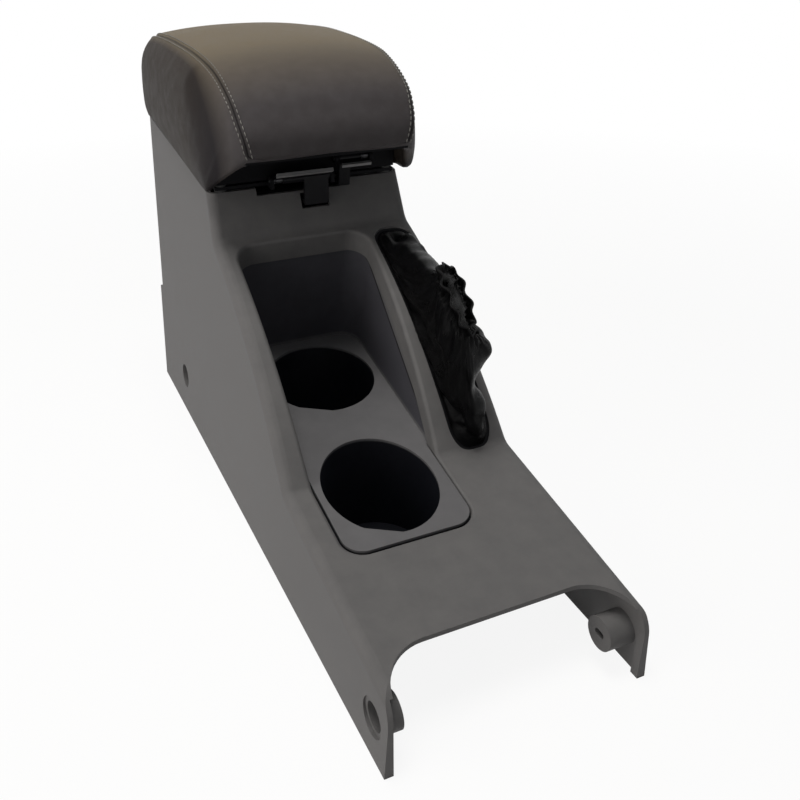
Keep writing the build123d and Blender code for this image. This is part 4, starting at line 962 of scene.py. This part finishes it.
loops = hem_loops + [standing_loop(*loop) for loop in BOOT_LOOPS]
keys = np.column_stack([np.array(loops).reshape(len(loops), -1), np.arange(len(loops))])
boot_rows = smooth_path(keys, BOOT_ROWS, along=3 * BOOT_COLUMNS)
boot_levels = boot_rows[:, -1]
sleeve = boot_rows[:, :-1].reshape(BOOT_ROWS, BOOT_COLUMNS, 3)
print("boot loops:", BOOT_ROWS, "of", BOOT_COLUMNS, "points, levels to", boot_levels[-1])

# %% [markdown]
# The larger folds are single pulls: all leather near a line moves one way, and the further from the line,
# the less. Each pull stands for something a hand did when the boot was last pushed aside. The hem takes
# no part, because the frame holds it.

# %% Large folds of the boot
# The level up to which the hem holds the leather still, and the levels over which it comes free
HEM_LEVEL, FREE_OVER = 1.0, 0.6
# Each pull: first and last point of its line, how far it spreads, and the move, all in millimetres
BOOT_PULLS = (
    ((62, 158, 143), (66, 170, 147), 7.0, (6.0, -3.0, 1.0)),
    ((58, 158, 156), (62, 172, 160), 5.0, (-4.0, 3.0, -1.0)),
    ((58, 150, 122), (66, 166, 120), 10.0, (-5.5, 5.0, 0.0)),
    ((64, 152, 106), (60, 151, 84), 3.2, (-3.5, 6.5, 0.0)),
    ((67, 156, 104), (66, 154, 84), 3.6, (3.2, -2.5, 0.0)),
    ((58, 150, 100), (55, 150, 82), 4.0, (0.5, -2.5, 0.0)),
    ((46, 250, 168), (44, 282, 183), 4.0, (0.0, 1.5, 4.0)),
    ((52, 235, 166), (52, 280, 182), 4.0, (0.0, 0.0, -5.0)),
    ((59, 225, 165), (60, 270, 182), 4.5, (1.0, 0.0, 5.0)),
    ((42, 200, 150), (41, 250, 166), 5.0, (-1.5, 0.0, 2.5)),
    ((45, 170, 125), (43, 215, 150), 6.0, (3.0, 0.0, 0.0)),
)


def pulled(grid, start, end, spread, move):
    """The sleeve with the leather near a line moved."""
    start, end = np.array(start, float), np.array(end, float)
    share = np.clip(((grid - start) @ (end - start)) / max((end - start) @ (end - start), 1e-9), 0, 1)
    distance = np.linalg.norm(grid - start - share[..., None] * (end - start), axis=2)
    return grid + np.exp(-(distance / spread) ** 2)[..., None] * np.array(move, float)


free = np.clip((boot_levels - HEM_LEVEL) / FREE_OVER, 0, 1)[:, None, None]
for pull in BOOT_PULLS:
    sleeve = sleeve + (pulled(sleeve, *pull) - sleeve) * free
print("large folds:", len(BOOT_PULLS), "pulls")

# %% [markdown]
# Small folds lie on top of the large ones. Pleats run into the elastic all round, strongest at the ring
# and gone a centimetre away, and the frill beyond it waves. Worn leather is also faintly rippled
# everywhere, which a few waves in random directions give. Their seed is fixed, so that the boot comes out
# the same each time.

# %% Small folds of the boot
RING_LEVEL, RIM_LEVEL = 6.0, 8.0
PLEATS, PLEAT_DEPTH, PLEAT_SPREAD = 30, 1.15, 0.75
FRILL_WAVES, FRILL_DEPTH = 11, 1.6
# How far the spacing of pleats and of frill waves drifts, and how often round the loop
PLEAT_DRIFT, FRILL_DRIFT = (0.6, 5), (1.2, 2)
RIPPLES, RIPPLE_DEPTH, RIPPLE_LENGTHS, RIPPLE_SEED = 9, 0.28, (11, 26), 11


def outward_of(grid):
    """Unit directions square to a closed sleeve of loops, pointing out of it."""
    around = np.roll(grid, -1, axis=1) - np.roll(grid, 1, axis=1)
    normal = np.cross(np.gradient(grid, axis=0), around)
    normal /= np.maximum(np.linalg.norm(normal, axis=2, keepdims=True), 1e-9)
    from_middle = grid - grid.mean(axis=1, keepdims=True)
    return normal * np.sign((normal * from_middle).sum())


turn = np.linspace(0, 2 * np.pi, BOOT_COLUMNS, endpoint=False)[None, :]
near_ring = np.exp(-((boot_levels - RING_LEVEL) / PLEAT_SPREAD) ** 2)[:, None]
past_ring = np.clip((boot_levels - RING_LEVEL) / (RIM_LEVEL - RING_LEVEL), 0, 1)[:, None]
pleat_turn = PLEATS * turn + PLEAT_DRIFT[0] * np.sin(PLEAT_DRIFT[1] * turn)
frill_turn = FRILL_WAVES * turn + FRILL_DRIFT[0] * np.sin(FRILL_DRIFT[1] * turn)
waves = PLEAT_DEPTH * near_ring * np.cos(pleat_turn) + FRILL_DEPTH * past_ring * np.sin(frill_turn)
draws = np.random.default_rng(RIPPLE_SEED)
for _ in range(RIPPLES):
    direction = draws.normal(size=3)
    direction *= 2 * np.pi / draws.uniform(*RIPPLE_LENGTHS) / np.linalg.norm(direction)
    ripple = np.sin(sleeve @ direction + draws.uniform(0, 2 * np.pi))
    waves = waves + RIPPLE_DEPTH * ripple * free[..., 0]
sleeve = sleeve + outward_of(sleeve) * waves[..., None]
print("small folds:", PLEATS, "pleats,", FRILL_WAVES, "frill waves and", RIPPLES, "ripples")

# %% [markdown]
# Last, the sleeve becomes a mesh and cloth crumples it: the leather is given a little spare length, so it
# has to buckle between the hem and the ring, which stay pinned. A Solidify modifier gives the leather its
# thickness on the inside.

# %% Boot mesh, crumpled by simulation
BOOT_THICK = 1.2
BOOT_FRAMES, BOOT_GRAVITY = 14, 0.2
BOOT_SPARE, BOOT_CRUMPLE_CAP = 0.012, 0.002
BOOT_STIFFNESS, BOOT_BENDING = 15, 4
# The level at which the hem's hold ends, half the elastic's width in levels, and how firmly the frill is held
HEM_HOLD_ENDS, RING_HALF, FRILL_HOLD = 1.6, 0.2, 0.8

boot_faces = loop_faces(BOOT_ROWS, BOOT_COLUMNS, turned=True)
boot = new_object("brake_boot_leather", place(sleeve.reshape(-1, 3)), boot_faces, boot_leather)
held = np.clip(HEM_HOLD_ENDS - boot_levels, 0, 1) + (np.abs(boot_levels - RING_LEVEL) < RING_HALF)
held = np.minimum(held + FRILL_HOLD * (boot_levels > RING_LEVEL), 1)
settle(boot, np.repeat(held, BOOT_COLUMNS), BOOT_FRAMES, BOOT_CRUMPLE_CAP, gravity=BOOT_GRAVITY,
       shrink_min=-BOOT_SPARE, tension_stiffness=BOOT_STIFFNESS, compression_stiffness=BOOT_STIFFNESS,
       bending_stiffness=BOOT_BENDING)
wall = boot.modifiers.new("wall", "SOLIDIFY")
wall.thickness, wall.offset = BOOT_THICK * MM, -1.0
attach(boot, "console")
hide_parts("brake_boot")
leather_area = sum(polygon.area for polygon in boot.data.polygons)
print("boot leather in cm2:", round(leather_area * 1e4, 1))
